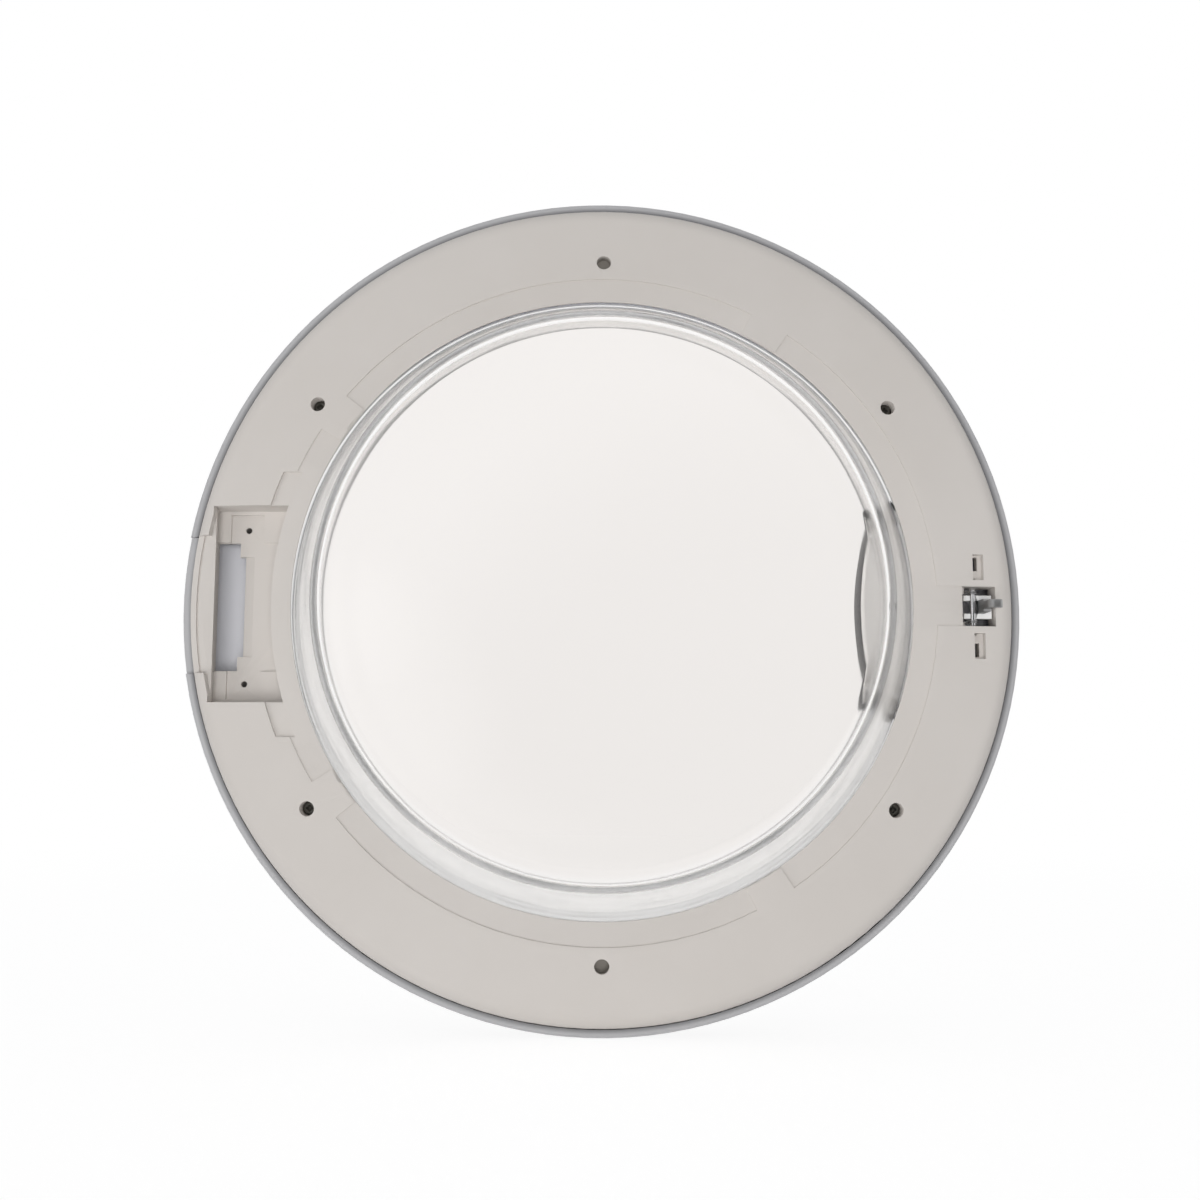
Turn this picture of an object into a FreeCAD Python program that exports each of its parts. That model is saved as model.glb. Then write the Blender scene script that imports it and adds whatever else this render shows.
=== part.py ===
import FreeCAD, Part
import math
import os

# A front-loading washing machine door, as it comes off the machine without its hinge.
# The door stands upright: +X is the latch side, +Z is up and +Y is the side that faces the user,
# so the glass bowl points along -Y, into the drum. The origin is on the door's axis, midway
# through its depth. A "depth" below is measured from the lip, the rear edge of the round mouth,
# towards the user. All sizes are in millimetres.

# The ring as a whole
MOUTH_RADIUS = 155.0
FACE_WIDTH = 54.0
RIM_GAP = 0.4
RIM_WIDTH = 4.5
FRAME_WALL = 2.5
FRONT_REACH = 46.0
BOWL_REACH = 55.0

# The inner frame's section
FACE_SLOPE = 7.0
LIP_ROUNDING = 1.2
EDGE_ROLL = 10.0
THROAT_SPREAD = 6.5
SEAT_DEPTH = 18.5
FLANGE_BEARING = 3.5
SKIRT_DROP = 6.5

# The sunk band round the mouth, broken by four bridges
BAND_WIDTH = 13.0
BAND_STEP = 0.8
BRIDGE_ANGLES = (59.6, 144.6, 215.4, 300.4)
BRIDGE_SPAN = 7.2
HINGE_NOTCH_INSET = 2.3
HINGE_NOTCH_WIDTH = 8.9
HINGE_NOTCH_STEP = 2.0
HINGE_NOTCH_END = 66.5

# The glass bowl
GLASS_THICKNESS = 5.0
BOWL_GAP = 2.5
BOWL_DRAFT = 20.5
PANE_CROWN = 1100.0
BOWL_CORNER = 14.0
FLANGE_CORNER = 2.5
FLANGE_CLEARANCE = 0.5

# The outer frame's section
RIM_DEPTH = 14.5
RIM_LAND = 5.0
RIM_ROUNDING = 2.5
SHOULDER_DROP = 8.0
SHOULDER_ROLL = 16.0
SHOULDER_WIDTH = 25.0
CREST_ROLL = 60.0
WINDOW_INSET = 4.0
WINDOW_BEVEL = 3.0
WINDOW_BEVEL_DEPTH = 6.0
WINDOW_ROLL = 4.0

# The screws that hold the two frames together
SCREW_ANGLES = (35.0, 145.0, 215.0, 325.0)
SCREW_INSET = 9.2
POST_RADIUS = 5.5
POST_DEPTH = 17.0
COUNTERBORE_RADIUS = 3.7
HEAD_SEAT_DEPTH = 12.0
SCREW_HOLE_RADIUS = 2.15
SCREW_HEAD_RADIUS = 3.5
SCREW_HEAD_HEIGHT = 2.6
SCREW_SHANK_RADIUS = 1.6
SCREW_LENGTH = 16.0
SCREW_CROSS_WIDTH = 1.0
SCREW_CROSS_DEPTH = 1.4
THREAD_CLEARANCE = 0.05
BOSS_RADIUS = 4.5
BLIND_ANGLES = (90.0, 270.0)
BLIND_DEPTH = 9.6

# The hinge pocket
POCKET_HALF_HEIGHT = 49.5
POCKET_CORNER = 2.0
BRIDGE_WIDTH = 10.0
BRIDGE_OVERHANG = 2.2
CHEEK_WIDTH = 7.0
SHELF_DEPTH = 22.0
BROW_DEPTH = 13.0
FLOOR_DEPTH = 24.0
FLOOR_THICKNESS = 3.0
PAD_OFFSET = 7.0
PAD_WIDTH = 17.0
PAD_START = 33.3
PAD_END = 47.5
HINGE_HOLE_OFFSET = 15.7
HINGE_HOLE_SPACING = 79.5
HINGE_HOLE_RADIUS = 1.6
HINGE_BOSS_RADIUS = 4.0
HINGE_BOSS_LENGTH = 12.0
SLOT_WIDTH = 14.3
SLOT_HALF_HEIGHT = 33.0
SLOT_STEP = 2.6
SLOT_STEP_START = 25.8
LEDGE_WIDTH = 4.7
LEDGE_STEP = 1.5
RIM_NOTCH_HALF_HEIGHT = 34.9
RIM_NOTCH_DEPTH = 12.0
RIM_NOTCH_SINK = 4.0
RIM_GROOVE_INSET = 3.4
RIM_GROOVE_WIDTH = 1.0
RIM_GROOVE_DEPTH = 1.2

# The latch well and its two pin windows
LATCH_INSET = 19.35
LATCH_WIDTH = 17.1
LATCH_HEIGHT = 20.1
LATCH_WALL_DEPTH = 18.0
PIN_WALL = 3.45
WINDOW_WIDTH = 5.7
WINDOW_HEIGHT = 12.9
WINDOW_FLOOR_DEPTH = 8.5
WINDOW_SLOT_WIDTH = 3.4
WINDOW_SLOT_HEIGHT = 7.0

# The latch: pin, carrier, hook and spring
PIN_OFFSET = 6.5
PIN_DEPTH = 9.0
PIN_RADIUS = 1.5
PIN_END_GAP = 0.6
RUNNING_CLEARANCE = 0.05
CARRIER_TAIL = 4.6
CARRIER_NOSE = 9.4
CARRIER_RISE = 0.8
CARRIER_DROP = 4.0
CARRIER_HALF_HEIGHT = 5.9
RAIL_GAP = 6.6
RAIL_END = 2.1
STOP_GAP = 0.3
STOP_WIDTH = 3.0
STOP_HEIGHT = 8.0
STOP_THICKNESS = 2.5
HOOK_FROM_PIN = 2.3
HOOK_THICKNESS = 3.8
HOOK_REACH = 20.5
HOOK_NOSE = 3.1
HOOK_NOSE_HEIGHT = 3.5
HOOK_NOSE_SLOPE = 2.5
HOOK_BASE_WIDTH = 6.4
HOOK_TIP_WIDTH = 4.0
HOOK_TIP_START = 10.0
HOOK_ROUNDING = 1.6
HOOK_FOOT = 1.2
HOOK_FOOT_HEIGHT = 1.5
HOOK_FIT = 0.1
SPRING_WIRE = 0.7
SPRING_BORE_GAP = 0.2
SPRING_END_GAP = 0.3
SPRING_TURNS = 3
SPRING_PITCH = 0.72
SPRING_COIL_SWELL = 0.05
SPRING_LEG = 4.2
SPRING_LEDGE_WIDTH = 3.2
SPRING_LEDGE_THICKNESS = 1.6
SPRING_LEDGE_GAP = 0.1

# The pull handle inside the window's edge, and its two screws
HANDLE_BULGE = 27.0
HANDLE_HALF_LENGTH = 63.0
HANDLE_GAP = 0.2
HANDLE_WALL = 2.5
HANDLE_SINK = 2.0
HANDLE_HEIGHT = 16.0
HANDLE_TIP_ROUNDING = 4.0
HANDLE_EDGE_ROUNDING = 1.2
HANDLE_SCREW_ANGLE = 16.0
HANDLE_SCREW_SINK = 10.0
HANDLE_SCREW_LENGTH = 10.0
HANDLE_SCREW_RADIUS = 1.4
HANDLE_SCREW_HOLE_RADIUS = 1.7
HANDLE_SCREW_HEAD_RADIUS = 2.9
HANDLE_SCREW_HEAD_HEIGHT = 2.0
HANDLE_BOSS_RADIUS = 3.2

# Sizes that follow from the ones above
LIP_Y = (BOWL_REACH - FRONT_REACH) / 2
FACE_RISE = math.tan(math.radians(FACE_SLOPE))
INNER_FRAME_RADIUS = MOUTH_RADIUS + FACE_WIDTH
RIM_INNER_RADIUS = INNER_FRAME_RADIUS + RIM_GAP
DOOR_RADIUS = RIM_INNER_RADIUS + RIM_WIDTH
THROAT_RADIUS = MOUTH_RADIUS + THROAT_SPREAD
FLANGE_RADIUS = THROAT_RADIUS + FLANGE_BEARING
SKIRT_INNER_RADIUS = FLANGE_RADIUS + FLANGE_CLEARANCE
SKIRT_RADIUS = SKIRT_INNER_RADIUS + FRAME_WALL
FLANGE_DEPTH = SEAT_DEPTH + GLASS_THICKNESS
WINDOW_RADIUS = FLANGE_RADIUS - WINDOW_INSET
SCREW_CIRCLE = SKIRT_RADIUS + SCREW_INSET
BAND_RADIUS = MOUTH_RADIUS + BAND_WIDTH
NOTCH_INNER_RADIUS = BAND_RADIUS - HINGE_NOTCH_INSET
NOTCH_RADIUS = NOTCH_INNER_RADIUS + HINGE_NOTCH_WIDTH
POCKET_WALL_X = -(INNER_FRAME_RADIUS - BRIDGE_WIDTH)
HINGE_HOLE_X = POCKET_WALL_X + HINGE_HOLE_OFFSET
LATCH_X = INNER_FRAME_RADIUS - LATCH_INSET
LATCH_LEFT = LATCH_X - LATCH_WIDTH / 2
LATCH_RIGHT = LATCH_X + LATCH_WIDTH / 2
PIN_X = LATCH_LEFT + PIN_OFFSET
PIN_WINDOW_Z = LATCH_HEIGHT / 2 + PIN_WALL
PIN_SEAT_DEPTH = PIN_DEPTH + PIN_RADIUS + FRAME_WALL
CARRIER_BOTTOM = PIN_DEPTH + CARRIER_DROP
CARRIER_TOP = PIN_DEPTH - CARRIER_RISE
HOOK_LEFT = PIN_X + HOOK_FROM_PIN
HOOK_RIGHT = HOOK_LEFT + HOOK_THICKNESS
SHOULDER_DEPTH = FRONT_REACH - SHOULDER_DROP
HANDLE_FRONT_DEPTH = FRONT_REACH - HANDLE_SINK
HANDLE_REAR_DEPTH = HANDLE_FRONT_DEPTH - HANDLE_HEIGHT
HANDLE_SCREW_DEPTH = FRONT_REACH - HANDLE_SCREW_SINK
FAR = 300.0
AXIS = FreeCAD.Vector(0, 1, 0)
UP = FreeCAD.Vector(0, 0, 1)
CENTRE = FreeCAD.Vector(0, 0, 0)


def face_depth(radius):
    """Depth of the inner frame's rear face, a shallow cone, at a radius."""
    return FACE_RISE * (radius - MOUTH_RADIUS)


def throat_radius(depth):
    """Radius of the throat, the inner frame's wall round the bowl, at a depth."""
    return MOUTH_RADIUS + THROAT_SPREAD * depth / SEAT_DEPTH


def rounded_wire(corners):
    """A closed wire in the XY plane through (x, y, rounding) corners, with tangent arcs."""
    points = [FreeCAD.Vector(x, y, 0) for x, y, rounding in corners]
    edges = []
    starts = []
    ends = []
    for i, (x, y, rounding) in enumerate(corners):
        before = (points[i - 1] - points[i]).normalize()
        after = (points[(i + 1) % len(points)] - points[i]).normalize()
        half = before.getAngle(after) / 2
        cut = rounding / math.tan(half)
        starts.append(points[i] + before * cut)
        ends.append(points[i] + after * cut)
        if rounding > 0:
            inward = (before + after).normalize()
            middle = points[i] + inward * (rounding / math.sin(half) - rounding)
            edges.append(Part.Arc(starts[i], middle, ends[i]).toShape())
        if i > 0:
            edges.append(Part.LineSegment(ends[i - 1], starts[i]).toShape())
    edges.append(Part.LineSegment(ends[-1], starts[0]).toShape())
    return Part.Wire(Part.__sortEdges__(edges))


def turned(corners, start=0.0, sweep=360.0):
    """A section of (radius, depth, rounding) corners turned about the door's axis.

    Angles run from +X towards +Z."""
    section = Part.Face(rounded_wire(corners))
    section.rotate(CENTRE, AXIS, -start)
    return section.revolve(CENTRE, -AXIS, sweep)


def block(x0, x1, z0, z1, depth0, depth1):
    """A box between two places along X, along Z and in depth."""
    corner = FreeCAD.Vector(min(x0, x1), min(depth0, depth1), min(z0, z1))
    return Part.makeBox(abs(x1 - x0), abs(depth1 - depth0), abs(z1 - z0), corner)


def both_ways(x0, x1, z0, z1, depth0, depth1):
    """A box and its mirror image below the door's middle."""
    return block(x0, x1, z0, z1, depth0, depth1).fuse(block(x0, x1, -z1, -z0, depth0, depth1))


def round_bar(radius, x, z, depth0, depth1):
    """A cylinder along the door's axis."""
    return Part.makeCylinder(radius, depth1 - depth0, FreeCAD.Vector(x, depth0, z), AXIS)


def on_circle(radius, angle):
    """The X and Z of a place on a circle round the door's axis."""
    turn = math.radians(angle)
    return radius * math.cos(turn), radius * math.sin(turn)


def face_layer(inner, outer, step, start=0.0, sweep=360.0):
    """A ring between two radii, from above the lip to one step below the sloped rear face."""
    corners = [
        (inner, -step, 0),
        (outer, -step, 0),
        (outer, face_depth(outer) + step, 0),
        (inner, face_depth(inner) + step, 0),
    ]
    return turned(corners, start, sweep)


def inner_frame_ring():
    """The inner frame's plain ring: sloped face, rolled edge, throat, glass seat and skirt."""
    wall_inside = INNER_FRAME_RADIUS - FRAME_WALL
    seat_top = SEAT_DEPTH - FRAME_WALL
    throat_slope = THROAT_SPREAD / SEAT_DEPTH
    under_throat = (FACE_RISE * FRAME_WALL + FRAME_WALL) / (1 - FACE_RISE * throat_slope)
    return turned([
        (MOUTH_RADIUS, 0, LIP_ROUNDING),
        (INNER_FRAME_RADIUS, face_depth(INNER_FRAME_RADIUS), EDGE_ROLL),
        (INNER_FRAME_RADIUS, SEAT_DEPTH, 0),
        (wall_inside, SEAT_DEPTH, 0),
        (wall_inside, face_depth(wall_inside) + FRAME_WALL, EDGE_ROLL - FRAME_WALL),
        (throat_radius(under_throat) + FRAME_WALL, under_throat, 0),
        (throat_radius(seat_top) + FRAME_WALL, seat_top, 0),
        (SKIRT_RADIUS, seat_top, 0),
        (SKIRT_RADIUS, SEAT_DEPTH + SKIRT_DROP, 0),
        (SKIRT_INNER_RADIUS, SEAT_DEPTH + SKIRT_DROP, 0),
        (SKIRT_INNER_RADIUS, SEAT_DEPTH, 0),
        (THROAT_RADIUS, SEAT_DEPTH, 0),
    ])


def face_envelope():
    """Everything below the rear face, which walls and posts are trimmed to."""
    return turned([
        (MOUTH_RADIUS, 0, LIP_ROUNDING),
        (INNER_FRAME_RADIUS, face_depth(INNER_FRAME_RADIUS), EDGE_ROLL),
        (INNER_FRAME_RADIUS, FRONT_REACH, 0),
        (MOUTH_RADIUS, FRONT_REACH, 0),
    ])


def hinge_pocket_walls():
    """The tray that the hinge sits in, with its floor, walls, bridge and screw bosses."""
    half = POCKET_HALF_HEIGHT + FRAME_WALL
    bottom = FLOOR_DEPTH + FLOOR_THICKNESS
    tray = block(POCKET_WALL_X - FRAME_WALL, -MOUTH_RADIUS, -half, half, 0, bottom)
    tray = tray.cut(round_bar(NOTCH_INNER_RADIUS - FRAME_WALL, 0, 0, 0, bottom))
    tray = tray.cut(round_bar(SKIRT_INNER_RADIUS, 0, 0, SEAT_DEPTH - FRAME_WALL, bottom))
    bridge_bottom = RIM_NOTCH_DEPTH + FRAME_WALL
    bridge = block(-FAR, POCKET_WALL_X, -half, half, RIM_NOTCH_DEPTH, bridge_bottom)
    corners = both_ways(-FAR, POCKET_WALL_X, RIM_NOTCH_HALF_HEIGHT, half, 0, bottom)
    walls = tray.fuse(bridge).fuse(corners)
    notch_floor = face_layer(NOTCH_INNER_RADIUS - FRAME_WALL, NOTCH_RADIUS + FRAME_WALL,
                             HINGE_NOTCH_STEP + FRAME_WALL)
    notch_end = HINGE_NOTCH_END + FRAME_WALL
    walls = walls.fuse(notch_floor.common(both_ways(-FAR, -1, POCKET_HALF_HEIGHT, notch_end, -FAR, FAR)))
    for side in (1, -1):
        hole_z = side * HINGE_HOLE_SPACING / 2
        boss_end = FLOOR_DEPTH + HINGE_BOSS_LENGTH
        boss = round_bar(HINGE_BOSS_RADIUS, HINGE_HOLE_X, hole_z, FLOOR_DEPTH, boss_end)
        walls = walls.fuse(boss)
    return walls


def bridge_lip():
    """The lip by which the bridge and the two cheeks beside the rim notch stand over the pocket."""
    half = POCKET_HALF_HEIGHT + FRAME_WALL
    left = POCKET_WALL_X - FRAME_WALL
    edge = POCKET_WALL_X + BRIDGE_OVERHANG
    lip = block(left, edge, -half, half, RIM_NOTCH_DEPTH, RIM_NOTCH_DEPTH + FRAME_WALL)
    cheeks = both_ways(left, edge, RIM_NOTCH_HALF_HEIGHT, half, -1, RIM_NOTCH_DEPTH)
    cheeks = cheeks.cut(round_bar(INNER_FRAME_RADIUS - CHEEK_WIDTH, 0, 0, -2, RIM_NOTCH_DEPTH))
    return lip.fuse(cheeks)


def hinge_pocket_cuts():
    """The hollow of the hinge pocket: shelves, pads, floor, slot, ledge, rim notch and holes."""
    left = POCKET_WALL_X
    right = -MOUTH_RADIUS
    half = POCKET_HALF_HEIGHT
    pad_left = left + PAD_OFFSET
    slot_right = left + SLOT_WIDTH
    through = FLOOR_DEPTH + FLOOR_THICKNESS + 1
    hollow = block(left, right, -half, half, -1, SHELF_DEPTH)
    corners = [e for e in hollow.Edges if abs(e.tangentAt(e.FirstParameter).y) > 0.9]
    corners = [e for e in corners if e.CenterOfMass.x < left + 1]
    hollow = hollow.makeFillet(POCKET_CORNER, corners)
    hollow = hollow.fuse(block(left, right, -PAD_START, PAD_START, 0, FLOOR_DEPTH))
    hollow = hollow.fuse(both_ways(pad_left, pad_left + PAD_WIDTH, 0, PAD_END, 0, FLOOR_DEPTH))
    ledge_depth = FLOOR_DEPTH + LEDGE_STEP
    ledge_right = slot_right + LEDGE_WIDTH
    hollow = hollow.fuse(block(left, ledge_right, -SLOT_STEP_START, SLOT_STEP_START, 0, ledge_depth))
    hollow = hollow.cut(round_bar(SKIRT_RADIUS, 0, 0, -2, through))
    hollow = hollow.cut(bridge_lip())
    brow = block(left / 2 + right / 2, right, -half, half, -1, BROW_DEPTH)
    hollow = hollow.fuse(brow.cut(round_bar(NOTCH_INNER_RADIUS, 0, 0, -2, through)))
    slot = block(left, slot_right, -SLOT_STEP_START, SLOT_STEP_START, 0, through)
    slot = slot.fuse(block(left, slot_right - SLOT_STEP, -SLOT_HALF_HEIGHT, SLOT_HALF_HEIGHT, 0, through))
    slot = slot.cut(bridge_lip())
    rim_half = RIM_NOTCH_HALF_HEIGHT
    notch = block(-FAR, left + 1, -rim_half, rim_half, -1, RIM_NOTCH_DEPTH)
    groove_radius = INNER_FRAME_RADIUS - RIM_GROOVE_INSET
    groove_bottom = RIM_NOTCH_DEPTH + RIM_GROOVE_DEPTH
    groove = turned([
        (groove_radius - RIM_GROOVE_WIDTH, 0, 0),
        (groove_radius, 0, 0),
        (groove_radius, groove_bottom, 0),
        (groove_radius - RIM_GROOVE_WIDTH, groove_bottom, 0),
    ])
    groove = groove.common(block(-FAR, left, -rim_half, rim_half, -1, groove_bottom))
    cuts = [hollow, slot, notch, groove]
    for side in (1, -1):
        hole_z = side * HINGE_HOLE_SPACING / 2
        hole_end = FLOOR_DEPTH + HINGE_BOSS_LENGTH - FRAME_WALL
        cuts.append(round_bar(HINGE_HOLE_RADIUS, HINGE_HOLE_X, hole_z, 0, hole_end))
    return cuts


def latch_walls():
    """The latch well's four walls, the tubes of the pin windows and the two kinds of ledge."""
    well = block(LATCH_LEFT - FRAME_WALL, LATCH_RIGHT + FRAME_WALL,
                 -PIN_WINDOW_Z, PIN_WINDOW_Z, 0, LATCH_WALL_DEPTH)
    window_left = LATCH_X - WINDOW_WIDTH / 2
    window_right = LATCH_X + WINDOW_WIDTH / 2
    window_end = PIN_WINDOW_Z + WINDOW_HEIGHT
    tubes = both_ways(window_left - FRAME_WALL, window_right + FRAME_WALL,
                      0, window_end + FRAME_WALL, 0, PIN_SEAT_DEPTH)
    return well.fuse(tubes)


def latch_cuts():
    """The latch well's mouth, the pin windows with their floor slots, and the pin's bore."""
    half = LATCH_HEIGHT / 2
    window_left = LATCH_X - WINDOW_WIDTH / 2
    window_right = LATCH_X + WINDOW_WIDTH / 2
    window_end = PIN_WINDOW_Z + WINDOW_HEIGHT
    well = block(LATCH_LEFT, LATCH_RIGHT, -half, half, -1, FRONT_REACH)
    windows = both_ways(window_left, window_right, PIN_WINDOW_Z, window_end, -1, WINDOW_FLOOR_DEPTH)
    slot_end = window_end - 1
    slot_start = slot_end - WINDOW_SLOT_HEIGHT
    slots = both_ways(window_left, window_left + WINDOW_SLOT_WIDTH, slot_start, slot_end, 0, FRONT_REACH)
    bore_start = FreeCAD.Vector(PIN_X, PIN_DEPTH, -PIN_WINDOW_Z - 1)
    bore = Part.makeCylinder(PIN_RADIUS + RUNNING_CLEARANCE, 2 * PIN_WINDOW_Z + 2, bore_start, UP)
    return [well, windows, slots, bore]


def latch_ledges():
    """The stop under the carrier's nose and the two ledges under the spring's legs."""
    stop_top = CARRIER_BOTTOM + STOP_GAP
    stop = block(LATCH_RIGHT - STOP_WIDTH, LATCH_RIGHT, -STOP_HEIGHT / 2, STOP_HEIGHT / 2,
                 stop_top, stop_top + STOP_THICKNESS)
    leg_top = spring_leg_depth() + SPRING_WIRE / 2 + SPRING_LEDGE_GAP
    ledge_start = CARRIER_HALF_HEIGHT + SPRING_END_GAP + SPRING_WIRE + STOP_GAP
    ledges = both_ways(LATCH_LEFT, LATCH_LEFT + SPRING_LEDGE_WIDTH, ledge_start,
                       LATCH_HEIGHT / 2, leg_top, leg_top + SPRING_LEDGE_THICKNESS)
    return [stop, ledges]


def make_inner_frame():
    """The off-white inner frame, one moulding."""
    envelope = face_envelope()
    frame = inner_frame_ring()
    frame = frame.fuse(hinge_pocket_walls().common(envelope))
    frame = frame.fuse(latch_walls().common(envelope))
    for angle in SCREW_ANGLES:
        x, z = on_circle(SCREW_CIRCLE, angle)
        frame = frame.fuse(round_bar(POST_RADIUS, x, z, 0, POST_DEPTH).common(envelope))
    for angle in BLIND_ANGLES:
        x, z = on_circle(SCREW_CIRCLE, angle)
        post = round_bar(POST_RADIUS, x, z, 0, BLIND_DEPTH + FRAME_WALL)
        frame = frame.fuse(post.common(envelope))
    cuts = hinge_pocket_cuts() + latch_cuts()
    for angle in SCREW_ANGLES:
        x, z = on_circle(SCREW_CIRCLE, angle)
        cuts.append(round_bar(COUNTERBORE_RADIUS, x, z, -1, HEAD_SEAT_DEPTH))
        cuts.append(round_bar(SCREW_HOLE_RADIUS, x, z, 0, POST_DEPTH + 1))
    for angle in BLIND_ANGLES:
        x, z = on_circle(SCREW_CIRCLE, angle)
        cuts.append(round_bar(COUNTERBORE_RADIUS, x, z, -1, BLIND_DEPTH))
    ends = BRIDGE_ANGLES[1:] + (BRIDGE_ANGLES[0] + 360,)
    for start, end in zip(BRIDGE_ANGLES, ends):
        cuts.append(face_layer(MOUTH_RADIUS - 1, BAND_RADIUS, BAND_STEP, start + BRIDGE_SPAN / 2,
                               end - start - BRIDGE_SPAN))
    channel = face_layer(MOUTH_RADIUS + 1, LATCH_X, BAND_STEP)
    half = LATCH_HEIGHT / 2
    cuts.append(channel.common(block(MOUTH_RADIUS, LATCH_X, -half, half, -1, POST_DEPTH)))
    notch = face_layer(NOTCH_INNER_RADIUS, NOTCH_RADIUS, HINGE_NOTCH_STEP)
    notch_start = POCKET_HALF_HEIGHT - FRAME_WALL
    cuts.append(notch.common(both_ways(-FAR, -1, notch_start, HINGE_NOTCH_END, -FAR, FAR)))
    for cut in cuts:
        frame = frame.cut(cut)
    for ledge in latch_ledges():
        frame = frame.fuse(ledge)
    return frame.removeSplitter()


def make_outer_frame():
    """The silver-grey outer frame: rim, domed front, window wall and screw bosses."""
    crest_radius = DOOR_RADIUS - SHOULDER_WIDTH
    window_edge = WINDOW_RADIUS + WINDOW_BEVEL
    window_depth = FRONT_REACH - WINDOW_BEVEL_DEPTH
    wall = FRAME_WALL
    frame = turned([
        (RIM_INNER_RADIUS, RIM_DEPTH, 0),
        (DOOR_RADIUS, RIM_DEPTH, RIM_ROUNDING),
        (DOOR_RADIUS, SHOULDER_DEPTH, SHOULDER_ROLL),
        (crest_radius, FRONT_REACH, CREST_ROLL),
        (window_edge, FRONT_REACH, WINDOW_ROLL),
        (WINDOW_RADIUS, window_depth, 0),
        (WINDOW_RADIUS, FLANGE_DEPTH, 0),
        (WINDOW_RADIUS + wall, FLANGE_DEPTH, 0),
        (WINDOW_RADIUS + wall, window_depth - wall / 4, 0),
        (window_edge + wall / 2, FRONT_REACH - wall, WINDOW_ROLL - wall),
        (crest_radius, FRONT_REACH - wall, CREST_ROLL - wall),
        (DOOR_RADIUS - wall, SHOULDER_DEPTH - wall / 2, SHOULDER_ROLL - wall),
        (DOOR_RADIUS - wall, RIM_DEPTH + RIM_LAND + wall, 0),
        (RIM_INNER_RADIUS, RIM_DEPTH + RIM_LAND, 0),
    ])
    frame = frame.cut(block(-FAR, POCKET_WALL_X, -RIM_NOTCH_HALF_HEIGHT, RIM_NOTCH_HALF_HEIGHT,
                            0, RIM_DEPTH + RIM_NOTCH_SINK))
    for angle in SCREW_ANGLES:
        x, z = on_circle(SCREW_CIRCLE, angle)
        frame = frame.fuse(round_bar(BOSS_RADIUS, x, z, POST_DEPTH, FRONT_REACH - wall / 2))
    for angle in SCREW_ANGLES:
        x, z = on_circle(SCREW_CIRCLE, angle)
        bore = SCREW_SHANK_RADIUS + THREAD_CLEARANCE
        bore_end = HEAD_SEAT_DEPTH + SCREW_LENGTH + 1
        frame = frame.cut(round_bar(bore, x, z, POST_DEPTH - 1, bore_end))
    for angle in (HANDLE_SCREW_ANGLE, -HANDLE_SCREW_ANGLE):
        frame = frame.cut(handle_screw_bar(HANDLE_SCREW_HOLE_RADIUS, angle,
                                           WINDOW_RADIUS - 1, WINDOW_RADIUS + wall + 1))
    return frame.removeSplitter()


def bowl_surface(mouth_radius, end_depth, crown, rim_depth):
    """The corner where a bowl's conical wall meets its crowned pane, and the wall's rim."""
    slope = math.tan(math.radians(BOWL_DRAFT))
    a = slope * slope + 1
    lift = end_depth + crown
    half_b = slope * mouth_radius - lift
    c = mouth_radius * mouth_radius + lift * lift - crown * crown
    corner_depth = (-half_b - math.sqrt(half_b * half_b - a * c)) / a
    return corner_depth, mouth_radius + slope * corner_depth, mouth_radius + slope * rim_depth


def make_glass_bowl():
    """The clear glass bowl: flange, conical wall and crowned pane of one thickness."""
    radial = GLASS_THICKNESS / math.cos(math.radians(BOWL_DRAFT))
    outer_mouth = MOUTH_RADIUS - BOWL_GAP
    inner_mouth = outer_mouth - radial
    outer = bowl_surface(outer_mouth, -BOWL_REACH, PANE_CROWN, SEAT_DEPTH)
    inner_end = GLASS_THICKNESS - BOWL_REACH
    inner = bowl_surface(inner_mouth, inner_end, PANE_CROWN - GLASS_THICKNESS, FLANGE_DEPTH)

    def pane(corner_depth, corner_radius, end_depth, crown):
        middle_radius = corner_radius / 2
        sag = crown - math.sqrt(crown * crown - middle_radius * middle_radius)
        return Part.Arc(
            FreeCAD.Vector(0, end_depth, 0),
            FreeCAD.Vector(middle_radius, end_depth + sag, 0),
            FreeCAD.Vector(corner_radius, corner_depth, 0),
        ).toShape()

    points = [
        FreeCAD.Vector(outer[1], outer[0], 0),
        FreeCAD.Vector(outer[2], SEAT_DEPTH, 0),
        FreeCAD.Vector(FLANGE_RADIUS, SEAT_DEPTH, 0),
        FreeCAD.Vector(FLANGE_RADIUS, FLANGE_DEPTH, 0),
        FreeCAD.Vector(inner[2], FLANGE_DEPTH, 0),
        FreeCAD.Vector(inner[1], inner[0], 0),
    ]
    edges = [Part.LineSegment(p, q).toShape() for p, q in zip(points, points[1:])]
    edges.append(pane(outer[0], outer[1], -BOWL_REACH, PANE_CROWN))
    edges.append(pane(inner[0], inner[1], inner_end, PANE_CROWN - GLASS_THICKNESS))
    edges.append(Part.LineSegment(FreeCAD.Vector(0, -BOWL_REACH, 0),
                                  FreeCAD.Vector(0, inner_end, 0)).toShape())
    section = Part.Face(Part.Wire(Part.__sortEdges__(edges)))
    bowl = section.revolve(CENTRE, AXIS, 360)
    roundings = [
        (outer[1], outer[0], BOWL_CORNER),
        (inner[1], inner[0], BOWL_CORNER - GLASS_THICKNESS),
        (outer[2], SEAT_DEPTH, FLANGE_CORNER),
        (inner[2], FLANGE_DEPTH, FLANGE_CORNER + GLASS_THICKNESS),
    ]
    for radius, depth, rounding in roundings:
        bowl = bowl.makeFillet(rounding, circles_at(bowl, radius, depth))
    return bowl


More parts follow.
